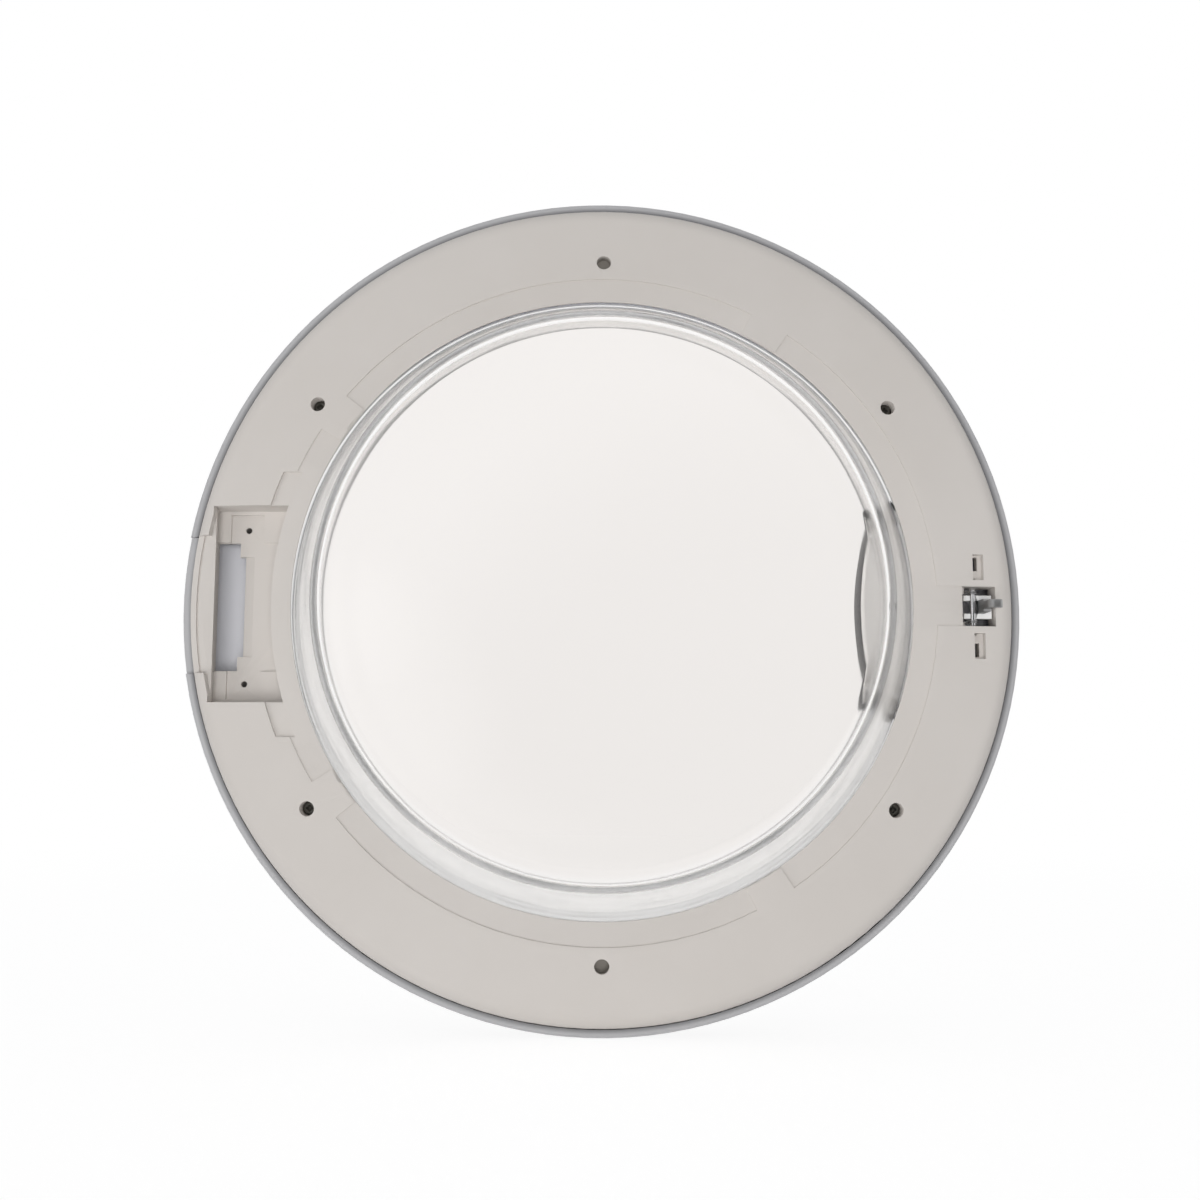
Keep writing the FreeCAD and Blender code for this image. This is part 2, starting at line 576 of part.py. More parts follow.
def circles_at(shape, radius, depth):
    """The circular edges of a turned shape at a radius and a depth."""
    found = []
    for edge in shape.Edges:
        if edge.Degenerated or not isinstance(edge.Curve, Part.Circle):
            continue
        same_radius = abs(edge.Curve.Radius - radius) < 0.01
        same_depth = abs(edge.Curve.Center.y - depth) < 0.01
        if same_radius and same_depth:
            found.append(edge)
    return found


def lens(inset, depth0, depth1):
    """The handle's outline, a lens between the window's edge and a flatter arc, set in all round."""
    window = WINDOW_RADIUS - HANDLE_GAP
    end_x = math.sqrt(window ** 2 - HANDLE_HALF_LENGTH ** 2)
    rise = end_x - (window - HANDLE_BULGE)
    flat_radius = (rise ** 2 + HANDLE_HALF_LENGTH ** 2) / (2 * rise)
    flat_x = window - HANDLE_BULGE + flat_radius
    edge = round_bar(window - inset, 0, 0, depth0, depth1)
    flat = round_bar(flat_radius - inset, flat_x, 0, depth0, depth1)
    return edge.common(flat)


def handle_screw_bar(radius, angle, start, end):
    """A cylinder that points out from the door's axis at the handle screws' depth."""
    x, z = on_circle(1, angle)
    outward = FreeCAD.Vector(x, 0, z)
    place = outward * start + AXIS * HANDLE_SCREW_DEPTH
    return Part.makeCylinder(radius, end - start, place, outward)


def make_door_handle():
    """The pull handle: a hollow lens with a grip edge and a boss for each screw."""
    body = lens(0, HANDLE_REAR_DEPTH, HANDLE_FRONT_DEPTH)
    tips = [e for e in body.Edges if abs(e.tangentAt(e.FirstParameter).y) > 0.9]
    body = body.makeFillet(HANDLE_TIP_ROUNDING, tips)
    front = [e for e in body.Edges if abs(e.CenterOfMass.y - HANDLE_FRONT_DEPTH) < 0.01]
    body = body.makeFillet(HANDLE_EDGE_ROUNDING, front)
    hollow = lens(HANDLE_WALL, HANDLE_REAR_DEPTH - 1, HANDLE_FRONT_DEPTH - HANDLE_WALL)
    handle = body.cut(hollow)
    window = WINDOW_RADIUS - HANDLE_GAP
    boss_start = window + HANDLE_SCREW_HEAD_HEIGHT - HANDLE_SCREW_LENGTH - HANDLE_WALL
    for angle in (HANDLE_SCREW_ANGLE, -HANDLE_SCREW_ANGLE):
        boss = handle_screw_bar(HANDLE_BOSS_RADIUS, angle, boss_start, window)
        handle = handle.fuse(boss.common(body))
    for angle in (HANDLE_SCREW_ANGLE, -HANDLE_SCREW_ANGLE):
        bore = HANDLE_SCREW_RADIUS + THREAD_CLEARANCE
        handle = handle.cut(handle_screw_bar(bore, angle, boss_start + 1, window + 1))
    return handle.removeSplitter()


def make_handle_screws():
    """The two screws that hold the handle, put in from inside the outer frame."""
    screws = []
    head_start = WINDOW_RADIUS + FRAME_WALL
    for angle in (HANDLE_SCREW_ANGLE, -HANDLE_SCREW_ANGLE):
        shank = handle_screw_bar(HANDLE_SCREW_RADIUS, angle, head_start - HANDLE_SCREW_LENGTH, head_start)
        head = handle_screw_bar(HANDLE_SCREW_HEAD_RADIUS, angle, head_start,
                                head_start + HANDLE_SCREW_HEAD_HEIGHT)
        screws.append(shank.fuse(head).removeSplitter())
    return Part.makeCompound(screws)


def make_frame_screws():
    """The four screws that pull the inner frame onto the outer one."""
    screws = []
    head_top = HEAD_SEAT_DEPTH - SCREW_HEAD_HEIGHT
    for angle in SCREW_ANGLES:
        x, z = on_circle(SCREW_CIRCLE, angle)
        head = round_bar(SCREW_HEAD_RADIUS, x, z, head_top, HEAD_SEAT_DEPTH)
        rim = circle_edge(head, head_top)
        head = head.makeFillet(SCREW_HEAD_HEIGHT / 2, rim)
        shank = round_bar(SCREW_SHANK_RADIUS, x, z, HEAD_SEAT_DEPTH, HEAD_SEAT_DEPTH + SCREW_LENGTH)
        arm = SCREW_HEAD_RADIUS / 2
        half = SCREW_CROSS_WIDTH / 2
        cross_end = head_top + SCREW_CROSS_DEPTH
        cross = block(x - arm, x + arm, z - half, z + half, head_top - 1, cross_end)
        cross = cross.fuse(block(x - half, x + half, z - arm, z + arm, head_top - 1, cross_end))
        screws.append(head.fuse(shank).cut(cross).removeSplitter())
    return Part.makeCompound(screws)


def circle_edge(shape, depth):
    """The circular edges of an upright bar at a depth."""
    return [e for e in shape.Edges if isinstance(e.Curve, Part.Circle) and abs(e.Curve.Center.y - depth) < 0.01]


def make_hook_pin():
    """The steel pin that the latch turns on, held in the walls beside the well."""
    half = PIN_WINDOW_Z - PIN_END_GAP
    return Part.makeCylinder(PIN_RADIUS, 2 * half, FreeCAD.Vector(PIN_X, PIN_DEPTH, -half), UP)


def make_hook_carrier():
    """The white carrier that snaps onto the pin: two rails, a nose block and the hook's slot."""
    left = PIN_X - CARRIER_TAIL
    right = PIN_X + CARRIER_NOSE
    half = CARRIER_HALF_HEIGHT
    body = block(left, right, -half, half, CARRIER_TOP, CARRIER_BOTTOM)
    rail_end = PIN_X + RAIL_END
    body = body.cut(block(left, rail_end, -RAIL_GAP / 2, RAIL_GAP / 2, 0, FRONT_REACH))
    bore_start = FreeCAD.Vector(PIN_X, PIN_DEPTH, -half - 1)
    body = body.cut(Part.makeCylinder(PIN_RADIUS + RUNNING_CLEARANCE, 2 * half + 2, bore_start, UP))
    hook_half = HOOK_BASE_WIDTH / 2 + HOOK_FIT
    body = body.cut(block(HOOK_LEFT - HOOK_FIT, HOOK_RIGHT + HOOK_FIT, -hook_half, hook_half, 0, FRONT_REACH))
    return body.removeSplitter()


def make_latch_hook():
    """The steel hook: a foot under the carrier, a flat shank and a nose that points outwards."""
    tip = PIN_DEPTH - HOOK_REACH
    foot_top = CARRIER_BOTTOM
    foot_bottom = foot_top + HOOK_FOOT_HEIGHT
    nose = HOOK_RIGHT + HOOK_NOSE
    nose_under = tip + HOOK_NOSE_HEIGHT
    outline = rounded_wire([
        (HOOK_LEFT, tip, HOOK_ROUNDING * 2),
        (nose, tip, HOOK_ROUNDING),
        (nose, nose_under, HOOK_ROUNDING / 2),
        (HOOK_RIGHT, nose_under + HOOK_NOSE_SLOPE, HOOK_ROUNDING / 2),
        (HOOK_RIGHT, foot_bottom, 0),
        (HOOK_LEFT, foot_bottom, 0),
    ])
    half = HOOK_BASE_WIDTH / 2
    hook = Part.Face(outline).extrude(UP * HOOK_BASE_WIDTH)
    hook.translate(UP * -half)
    tip_half = HOOK_TIP_WIDTH / 2
    tip_end = tip + HOOK_TIP_START
    sides = both_ways(HOOK_LEFT - 1, nose + 1, tip_half, half + 1, tip - 1, tip_end)
    shoulder = [e for e in sides.Edges if abs(e.tangentAt(e.FirstParameter).x) > 0.9]
    shoulder = [e for e in shoulder if abs(e.CenterOfMass.y - tip_end) < 0.01]
    shoulder = [e for e in shoulder if abs(abs(e.CenterOfMass.z) - tip_half) < 0.01]
    hook = hook.cut(sides.makeFillet(half - tip_half, shoulder))
    foot = block(HOOK_LEFT, HOOK_RIGHT, -half - HOOK_FOOT, half + HOOK_FOOT, foot_top, foot_bottom)
    return hook.fuse(foot).removeSplitter()


def spring_coil_radius():
    """Radius of the spring's wire centre line round the pin."""
    return PIN_RADIUS + SPRING_BORE_GAP + SPRING_WIRE / 2


def spring_leg_depth():
    """Depth of the spring's two outer legs, tangent to the underside of the coils."""
    return PIN_DEPTH + spring_coil_radius()


def bent_wire(points):
    """A length of spring wire through some points, rounded at each bend and at its far end."""
    radius = SPRING_WIRE / 2
    bars = [Part.makeCylinder(radius, (q - p).Length, p, q - p) for p, q in zip(points, points[1:])]
    balls = [Part.makeSphere(radius, p) for p in points[1:-1]]
    return bars[0].multiFuse(bars[1:] + balls)


def make_hook_spring():
    """The double torsion spring: a close-wound coil each side of the carrier, and its legs."""
    radius = spring_coil_radius()
    inner_z = CARRIER_HALF_HEIGHT + SPRING_END_GAP + SPRING_WIRE / 2
    outer_z = inner_z + SPRING_PITCH * (SPRING_TURNS - 1)
    leg_depth = spring_leg_depth() - PIN_DEPTH
    bridge_depth = CARRIER_DROP + STOP_GAP + SPRING_WIRE / 2
    turn_radius = SPRING_WIRE / 2 + SPRING_COIL_SWELL
    turns = []
    for i in range(SPRING_TURNS):
        turns.append(Part.makeTorus(radius, turn_radius, UP * (inner_z + i * SPRING_PITCH), UP))
    leg = bent_wire([
        FreeCAD.Vector(-radius, 0, outer_z),
        FreeCAD.Vector(-SPRING_LEG, leg_depth, outer_z),
    ])
    bridge = bent_wire([
        FreeCAD.Vector(0, radius, inner_z),
        FreeCAD.Vector(-SPRING_LEG, bridge_depth, inner_z),
        FreeCAD.Vector(-SPRING_LEG, bridge_depth, -inner_z),
        FreeCAD.Vector(0, radius, -inner_z),
    ])
    upper = turns[0].multiFuse(turns[1:] + [leg])
    spring = bridge.multiFuse([upper, upper.mirror(CENTRE, UP)])
    spring.translate(FreeCAD.Vector(PIN_X, PIN_DEPTH, 0))
    return spring.removeSplitter()


PIECES = {
    "inner_frame": make_inner_frame,
    "outer_frame": make_outer_frame,
    "glass_bowl": make_glass_bowl,
    "door_handle": make_door_handle,
    "handle_screws": make_handle_screws,
    "frame_screws": make_frame_screws,
    "hook_pin": make_hook_pin,
    "hook_carrier": make_hook_carrier,
    "latch_hook": make_latch_hook,
    "hook_spring": make_hook_spring,
}

os.makedirs("parts", exist_ok=True)
for name, make in PIECES.items():
    piece = make()
    piece.translate(AXIS * LIP_Y)
    piece.exportStep("parts/" + name + ".step")
    box = piece.BoundBox
    print(name, "solids", len(piece.Solids), "valid", piece.isValid(), "volume", round(piece.Volume),
          "y %.2f to %.2f" % (box.YMin, box.YMax), "x %.2f to %.2f" % (box.XMin, box.XMax))
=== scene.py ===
# %% [markdown]
# # A washing machine door from the drum side
#
# The door of a front loader is a glass bowl held between two plastic rings. We look at the side
# that faces the drum: an off-white inner frame with an empty hinge pocket on the left, a small
# sprung hook on the right, and a silver-grey outer frame that shows only as a rim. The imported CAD
# model already has the true shapes and sizes, so this lesson lights it, gives each piece its
# finish, and rebuilds the few pieces that need a finer mesh than CAD gives.

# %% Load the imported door
import math

import bmesh
import bpy
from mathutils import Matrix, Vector


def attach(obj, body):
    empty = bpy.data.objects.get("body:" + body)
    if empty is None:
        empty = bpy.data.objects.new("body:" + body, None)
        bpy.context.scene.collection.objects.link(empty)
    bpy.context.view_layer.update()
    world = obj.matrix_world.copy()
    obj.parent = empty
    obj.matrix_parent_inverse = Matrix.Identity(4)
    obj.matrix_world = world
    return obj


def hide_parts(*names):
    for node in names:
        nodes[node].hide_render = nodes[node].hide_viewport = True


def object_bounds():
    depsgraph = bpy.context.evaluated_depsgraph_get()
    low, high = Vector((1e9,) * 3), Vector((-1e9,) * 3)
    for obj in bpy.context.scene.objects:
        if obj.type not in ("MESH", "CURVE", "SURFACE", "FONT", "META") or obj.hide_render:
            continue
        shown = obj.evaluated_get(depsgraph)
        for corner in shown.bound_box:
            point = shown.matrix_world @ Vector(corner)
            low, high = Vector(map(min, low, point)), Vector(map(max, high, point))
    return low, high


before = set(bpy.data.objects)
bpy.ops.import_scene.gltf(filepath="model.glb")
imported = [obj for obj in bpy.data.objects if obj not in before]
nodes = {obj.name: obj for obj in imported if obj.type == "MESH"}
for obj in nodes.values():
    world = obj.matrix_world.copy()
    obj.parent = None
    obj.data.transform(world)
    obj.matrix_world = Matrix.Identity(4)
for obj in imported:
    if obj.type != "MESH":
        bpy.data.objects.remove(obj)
cad_low, cad_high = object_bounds()
scene = bpy.context.scene
print("nodes:", ", ".join(sorted(nodes)))
print("CAD box in mm:", [round(1000 * v, 1) for v in cad_high - cad_low])

# %% [markdown]
# ## Where the camera stood
#
# The photograph is nearly square on, a little below the middle of the door and close enough for
# the hook and the bowl to lean outwards. A pinhole fit to the door's circles gave the place, the
# turn and the focal length. Depths in the CAD source are counted from the lip, the rear edge of
# the round mouth, so the same helper is kept here to carry numbers over.

# %% Camera
MM = 0.001
LIP_Y = 4.5 * MM
SENSOR_WIDTH = 36.0
FOCAL_LENGTH = 39.09
CAMERA_X, CAMERA_DEPTH, CAMERA_Z = -8.9, -646.0, -69.8
CAMERA_TURN = (96.33, -0.189, -0.681)


def depth(mm):
    """Y in metres of a depth that is counted in millimetres from the lip towards the front."""
    return LIP_Y + mm * MM


camera_data = bpy.data.cameras.new("photo_camera")
camera_data.sensor_width = SENSOR_WIDTH
camera_data.lens = FOCAL_LENGTH
camera_data.clip_start = 10 * MM
camera = bpy.data.objects.new("photo_camera", camera_data)
camera.location = (CAMERA_X * MM, depth(CAMERA_DEPTH), CAMERA_Z * MM)
camera.rotation_euler = [math.radians(a) for a in CAMERA_TURN]
scene.collection.objects.link(camera)
scene.camera = camera
print("camera at", [round(v, 3) for v in camera.location])

# %% [markdown]
# ## A white studio
#
# The picture has a plain white ground with no horizon. It could be lit until it burns out, but
# that would also flood the door. Instead the world and the floor show white to the camera, also
# through glass, and light everything else at an ordinary level. A Light Path node tells these rays
# apart. What is mirrored isn't white all round: behind the camera the room is dark, which dims the
# middle of the pane, and a tall window stands to the left. One helper gives that tone for any
# direction, so the mirrored floor and the mirrored air meet without a line.

# %% Small node helpers
def math_node(tree, operation, first, second=0.0):
    """A Math node between two sockets, or a socket and a number."""
    node = tree.nodes.new("ShaderNodeMath")
    node.operation = operation
    for socket, value in zip(node.inputs, (first, second)):
        if isinstance(value, (int, float)):
            socket.default_value = value
        else:
            tree.links.new(value, socket)
    return node.outputs[0]


def ramp(tree, value, from_low, from_high, to_low, to_high):
    """A value carried smoothly from one range to another."""
    node = tree.nodes.new("ShaderNodeMapRange")
    node.interpolation_type = "SMOOTHSTEP"
    node.inputs["From Min"].default_value = from_low
    node.inputs["From Max"].default_value = from_high
    node.inputs["To Min"].default_value = to_low
    node.inputs["To Max"].default_value = to_high
    tree.links.new(value, node.inputs["Value"])
    return node.outputs["Result"]


def towards(tree, way, direction):
    """How far a direction socket points to one side: 1 is straight at it."""
    node = tree.nodes.new("ShaderNodeVectorMath")
    node.operation = "DOT_PRODUCT"
    node.inputs[1].default_value = Vector(direction).normalized()
    tree.links.new(way, node.inputs[0])
    return node.outputs["Value"]


print("node helpers:", math_node.__name__, ramp.__name__, towards.__name__)

# %% What shiny skins mirror
DARK_ROOM = (0.22, -0.968, -0.12)
ROOM_EDGE, ROOM_CORE, ROOM_TONE = 0.80, 0.96, 0.05
LEFT_WINDOW = (-0.42, -0.90, -0.08)
WINDOW_EDGE, WINDOW_CORE, WINDOW_TONE = 0.955, 0.99, 0.45


def room_tone(tree, way):
    """The tone that the studio shows to a mirror in a direction."""
    room = ramp(tree, towards(tree, way, DARK_ROOM), ROOM_EDGE, ROOM_CORE, 1.0, ROOM_TONE)
    window = ramp(tree, towards(tree, way, LEFT_WINDOW), WINDOW_EDGE, WINDOW_CORE, 0.0, WINDOW_TONE)
    return math_node(tree, "ADD", room, window)


print("dark room towards", DARK_ROOM, "and window towards", LEFT_WINDOW)

# %% Which rays the eye follows
def mixed(tree, share, first, second):
    """A Mix Shader between two shader sockets."""
    node = tree.nodes.new("ShaderNodeMixShader")
    tree.links.new(share, node.inputs["Fac"])
    tree.links.new(first, node.inputs[1])
    tree.links.new(second, node.inputs[2])
    return node.outputs[0]


def ray_kinds(tree):
    """Sockets that are 1 for mirrored rays, and for rays that the eye follows at all."""
    rays = tree.nodes.new("ShaderNodeLightPath")
    through = rays.outputs["Is Transmission Ray"]
    mirror = math_node(tree, "SUBTRACT", rays.outputs["Is Glossy Ray"], through)
    mirror = math_node(tree, "MAXIMUM", mirror, 0.0)
    direct = math_node(tree, "MAXIMUM", rays.outputs["Is Camera Ray"], through)
    return mirror, math_node(tree, "MAXIMUM", direct, mirror)


print("ray helpers:", mixed.__name__, ray_kinds.__name__)

# %% White for the eye, plain light for the rest
AIR_COLOUR = (0.98, 0.985, 1.0, 1)
AIR_ABOVE = 0.62
AIR_FULL_AT = 0.9

world = bpy.data.worlds.new("studio_air")
scene.world = world
world.use_nodes = True
air = world.node_tree
air_way = air.nodes.new("ShaderNodeTexCoord").outputs["Generated"]
air_mirror, air_direct = ray_kinds(air)
air_light = air.nodes["Background"]
air_light.inputs["Color"].default_value = AIR_COLOUR
air_rise = ramp(air, towards(air, air_way, (0, 0, 1)), 0.0, AIR_FULL_AT, 0.0, AIR_ABOVE)
air.links.new(air_rise, air_light.inputs["Strength"])
air_white = air.nodes.new("ShaderNodeBackground")
air_white.inputs["Color"].default_value = (1, 1, 1, 1)
air_straight = math_node(air, "SUBTRACT", 1.0, air_mirror)
air_tone = math_node(air, "MAXIMUM", room_tone(air, air_way), air_straight)
air.links.new(air_tone, air_white.inputs["Strength"])
air_all = mixed(air, air_direct, air_light.outputs[0], air_white.outputs[0])
air.links.new(air_all, air.nodes["World Output"].inputs["Surface"])
scene.view_settings.view_transform = "Standard"
print("world nodes:", len(air.nodes))

# %% [markdown]
# ## The floor
#
# The floor is a sheet of paper just under the door. Near the door a part of its white is lit
# paper, which carries the door's shadow, and the rest is glow. Farther out it is all glow, exactly
# as white as the air, so no horizon shows beside the door or through its glass.

# %% Floor under the door
FLOOR_GAP = 0.2 * MM
FLOOR_HALF = 6.0

floor_z = cad_low.z - FLOOR_GAP
floor_mesh = bmesh.new()
bmesh.ops.create_grid(floor_mesh, x_segments=1, y_segments=1, size=FLOOR_HALF)
bmesh.ops.translate(floor_mesh, vec=(0, 0, floor_z), verts=floor_mesh.verts)
floor_data = bpy.data.meshes.new("floor")
floor_mesh.to_mesh(floor_data)
floor_mesh.free()
floor = bpy.data.objects.new("floor", floor_data)
scene.collection.objects.link(floor)
floor.visible_shadow = False
print("floor at", round(1000 * floor_z, 1), "mm")

# %% Paper for the floor
PAPER = (0.8, 0.8, 0.8, 1)
SHADE_NEAR, SHADE_FAR = 0.5, 1.5
SHADE = 0.2
GLOW = 0.895


def vector_node(tree, operation, value):
    """A Vector Math node on one vector socket."""
    node = tree.nodes.new("ShaderNodeVectorMath")
    node.operation = operation
    tree.links.new(value, node.inputs[0])
    return node


paper = bpy.data.materials.new("studio_paper")
paper.use_nodes = True
sheet = paper.node_tree
sheet.nodes.clear()
sheet_out = sheet.nodes.new("ShaderNodeOutputMaterial")
sheet_mirror, sheet_direct = ray_kinds(sheet)
sheet_place = sheet.nodes.new("ShaderNodeTexCoord").outputs["Object"]
sheet_way = vector_node(sheet, "NORMALIZE", sheet_place).outputs["Vector"]
sheet_reach = vector_node(sheet, "LENGTH", sheet_place).outputs["Value"]
sheet_matt = sheet.nodes.new("ShaderNodeBsdfDiffuse")
sheet_matt.inputs["Color"].default_value = PAPER
sheet_shade = sheet.nodes.new("ShaderNodeBsdfDiffuse")
sheet_fade = ramp(sheet, sheet_reach, SHADE_NEAR, SHADE_FAR, SHADE, 0.0)
sheet.links.new(sheet_fade, sheet_shade.inputs["Color"])
sheet_glow = sheet.nodes.new("ShaderNodeEmission")
sheet_rise = ramp(sheet, sheet_reach, SHADE_NEAR, SHADE_FAR, GLOW, 1.0)
sheet.links.new(sheet_rise, sheet_glow.inputs["Strength"])
sheet_white = sheet.nodes.new("ShaderNodeAddShader")
sheet.links.new(sheet_glow.outputs[0], sheet_white.inputs[0])
sheet.links.new(sheet_shade.outputs[0], sheet_white.inputs[1])
sheet_mirrored = sheet.nodes.new("ShaderNodeEmission")
sheet.links.new(room_tone(sheet, sheet_way), sheet_mirrored.inputs["Strength"])
sheet_seen = mixed(sheet, sheet_mirror, sheet_white.outputs[0], sheet_mirrored.outputs[0])
sheet_all = mixed(sheet, sheet_direct, sheet_matt.outputs[0], sheet_seen)
sheet.links.new(sheet_all, sheet_out.inputs["Surface"])
floor_data.materials.append(paper)
print("paper nodes:", len(sheet.nodes))

# %% [markdown]
# ## Soft light from in front and from the left
#
# In the photograph the frame is brightest at the lower left, no shadow has an edge, and even the
# floor of the hinge pocket is nearly as light as the face around it. So most of the light comes
# from a large lamp behind the camera, and a second one stands on the left. The middles of both lie
# lower than the floor, which throws no shadow and so doesn't stop their light. The air above adds
# the rest. The glass shows no lamp as a patch, so the lamps only light. Each light was rendered
# alone to find the strengths that add up to the tones of the real frame. Glass turns light round
# inside itself many times, so the number of bounces goes up too.

# %% Lamps
BOUNCES = 24
MIRROR_BOUNCES = 16


def soft_box(name, place, size, watts):
    """A square area lamp that looks at the door's middle."""
    lamp = bpy.data.lights.new(name, "AREA")
    lamp.shape = "SQUARE"
    lamp.size = size
    lamp.energy = watts
    lamp_object = bpy.data.objects.new(name, lamp)
    lamp_object.visible_glossy = False
    lamp_object.visible_transmission = False
    lamp_object.location = place
    lamp_object.rotation_euler = (-Vector(place)).to_track_quat("-Z", "Y").to_euler()
    scene.collection.objects.link(lamp_object)


soft_box("front_large", place=(0.1, -2.4, -0.4), size=1.2, watts=33.0)
soft_box("low_left", place=(-1.7, -1.7, -0.9), size=1.3, watts=22.0)
scene.cycles.max_bounces = BOUNCES
scene.cycles.glossy_bounces = MIRROR_BOUNCES
scene.cycles.transmission_bounces = BOUNCES

# %% [markdown]
# ## Shared helpers
#
# A mesh that comes out of CAD is a bag of loose triangles with hard edges. A copy of it can be
# welded, its flat areas cleared of needless edges, and its sharp edges given a hair of rounding,
# which is what makes a moulded or cast edge catch the light. The copy then stands for the node.

# %% Helpers for pieces
WELD = 1e-6
FLAT = math.radians(0.05)
SHARP = math.radians(35.0)


def finish_piece(name, body, mesh, node, smooth=30.0):
    """Turns a bmesh into an object that rides on a body and stands for a CAD node."""
    data = bpy.data.meshes.new(name)
    mesh.to_mesh(data)
    mesh.free()
    data.shade_smooth()
    data.set_sharp_from_angle(angle=math.radians(smooth))
    piece = bpy.data.objects.new(name, data)
    scene.collection.objects.link(piece)
    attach(piece, body)
    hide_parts(node)
    print(name, "faces:", len(data.polygons))
    return piece


def welded_copy(node):
    """A bmesh of a CAD node with its loose triangles joined."""
    mesh = bmesh.new()
    mesh.from_mesh(nodes[node].data)
    bmesh.ops.remove_doubles(mesh, verts=mesh.verts, dist=WELD)
    return mesh


def ease_edges(mesh, width, segments):
    """Clears flat areas of needless edges and rounds every sharp edge."""
    bmesh.ops.dissolve_limit(mesh, angle_limit=FLAT, verts=mesh.verts, edges=mesh.edges)
    sharp = [e for e in mesh.edges if e.is_manifold and e.calc_face_angle() > SHARP]
    bmesh.ops.bevel(mesh, geom=sharp, offset=width, segments=segments, profile=0.5,
                    affect="EDGES", clamp_overlap=True, material=-1)


# %% [markdown]
# ## The glass bowl
#
# The bowl is pressed glass of one thickness: a flange, a wall with a moulder's draft, a generous
# corner and a slightly crowned pane. Refraction shows every facet, so it is turned afresh as a
# fine spin instead of using the CAD triangles. The section starts as ten points. Its six corners
# are rounded with a vertex bevel, the pane's two lines are divided and crowned, and the whole is
# spun round the door's axis.

# %% Sizes of the bowl and its crowned pane
GLASS = 5.0
MOUTH = 155.0
MOUTH_GAP = 2.5
SEAT = 18.5
DRAFT = math.radians(20.5)
FLANGE = 165.0
PANE = 120.0
CROWN = 1100.0
REACH = 55.0


def pane_depth(radius, end):
    """Depth of the crowned pane at a radius, from its depth at the middle."""
    return end + radius * radius / (2 * CROWN)


def pane_corner(mouth, end):
    """Radius and depth where a bowl's sloped wall meets the straight end of its pane."""
    slope = math.tan(DRAFT)
    lean = PANE / CROWN
    edge = pane_depth(PANE, end)
    radius = (mouth + slope * (edge - lean * PANE)) / (1 - slope * lean)
    return radius, edge + lean * (radius - PANE)


print("pane rises by", round(pane_depth(PANE, 0.0), 2), "mm to its edge")

# %% Section of the bowl
FLANGE_EDGE = 0.6
NECK_OUTSIDE, NECK_INSIDE = 2.5, 7.5
CORNER_OUTSIDE, CORNER_INSIDE = 14.0, 9.0

outer_mouth = MOUTH - MOUTH_GAP
inner_mouth = outer_mouth - GLASS / math.cos(DRAFT)
bowl_section = [
    (0.0, -REACH, 0),
    (PANE, pane_depth(PANE, -REACH), 0),
    (*pane_corner(outer_mouth, -REACH), CORNER_OUTSIDE),
    (outer_mouth + math.tan(DRAFT) * SEAT, SEAT, NECK_OUTSIDE),
    (FLANGE, SEAT, FLANGE_EDGE),
    (FLANGE, SEAT + GLASS, FLANGE_EDGE),
    (inner_mouth + math.tan(DRAFT) * (SEAT + GLASS), SEAT + GLASS, NECK_INSIDE),
    (*pane_corner(inner_mouth, GLASS - REACH), CORNER_INSIDE),
    (PANE, pane_depth(PANE, GLASS - REACH), 0),
    (0.0, GLASS - REACH, 0),
]
print("bowl section points:", len(bowl_section))

# %% Round the corners of a section, and spin it
CORNER_STEPS = 12


def rounded_section(mesh, corners):
    """Edges through (radius, depth, rounding) corners in the XY plane, each bevelled round."""
    points = [mesh.verts.new((radius * MM, depth(deep), 0)) for radius, deep, _ in corners]
    for pair in zip(points, points[1:]):
        mesh.edges.new(pair)
    for point, (_, _, rounding) in zip(points, corners):
        if not rounding:
            continue
        ends = [e.other_vert(point).co - point.co for e in point.link_edges]
        half = ends[0].angle(ends[1]) / 2
        cut = rounding * MM / math.tan(half)
        bmesh.ops.bevel(mesh, geom=[point], offset=cut, segments=CORNER_STEPS, profile=0.5,
                        affect="VERTICES", material=-1)
    return mesh


def spun(mesh, steps):
    """Spins a section once round the door's axis and closes the seam and the poles."""
    bmesh.ops.spin(mesh, geom=mesh.verts[:] + mesh.edges[:], cent=(0, 0, 0), axis=(0, 1, 0),
                   angle=2 * math.pi, steps=steps, use_merge=True)
    bmesh.ops.remove_doubles(mesh, verts=mesh.verts, dist=WELD)
    bmesh.ops.recalc_face_normals(mesh, faces=mesh.faces)
    return mesh


print("spin helpers:", rounded_section.__name__, spun.__name__)

# %% Spin the bowl
PANE_CUTS = 23
BOWL_STEPS = 256

bowl = rounded_section(bmesh.new(), bowl_section)
for end in (-REACH, GLASS - REACH):
    pole = [v for v in bowl.verts if v.co.x < WELD and abs(v.co.y - depth(end)) < WELD]
    pane_line = pole[0].link_edges[:]
    fresh = bmesh.ops.subdivide_edges(bowl, edges=pane_line, cuts=PANE_CUTS)["geom_inner"]
    for v in fresh:
        if isinstance(v, bmesh.types.BMVert):
            v.co.y = depth(pane_depth(v.co.x / MM, end))
pieces = {}
pieces["glass_bowl"] = finish_piece("bowl_glass", "door", spun(bowl, BOWL_STEPS), "glass_bowl",
                                    smooth=40.0)
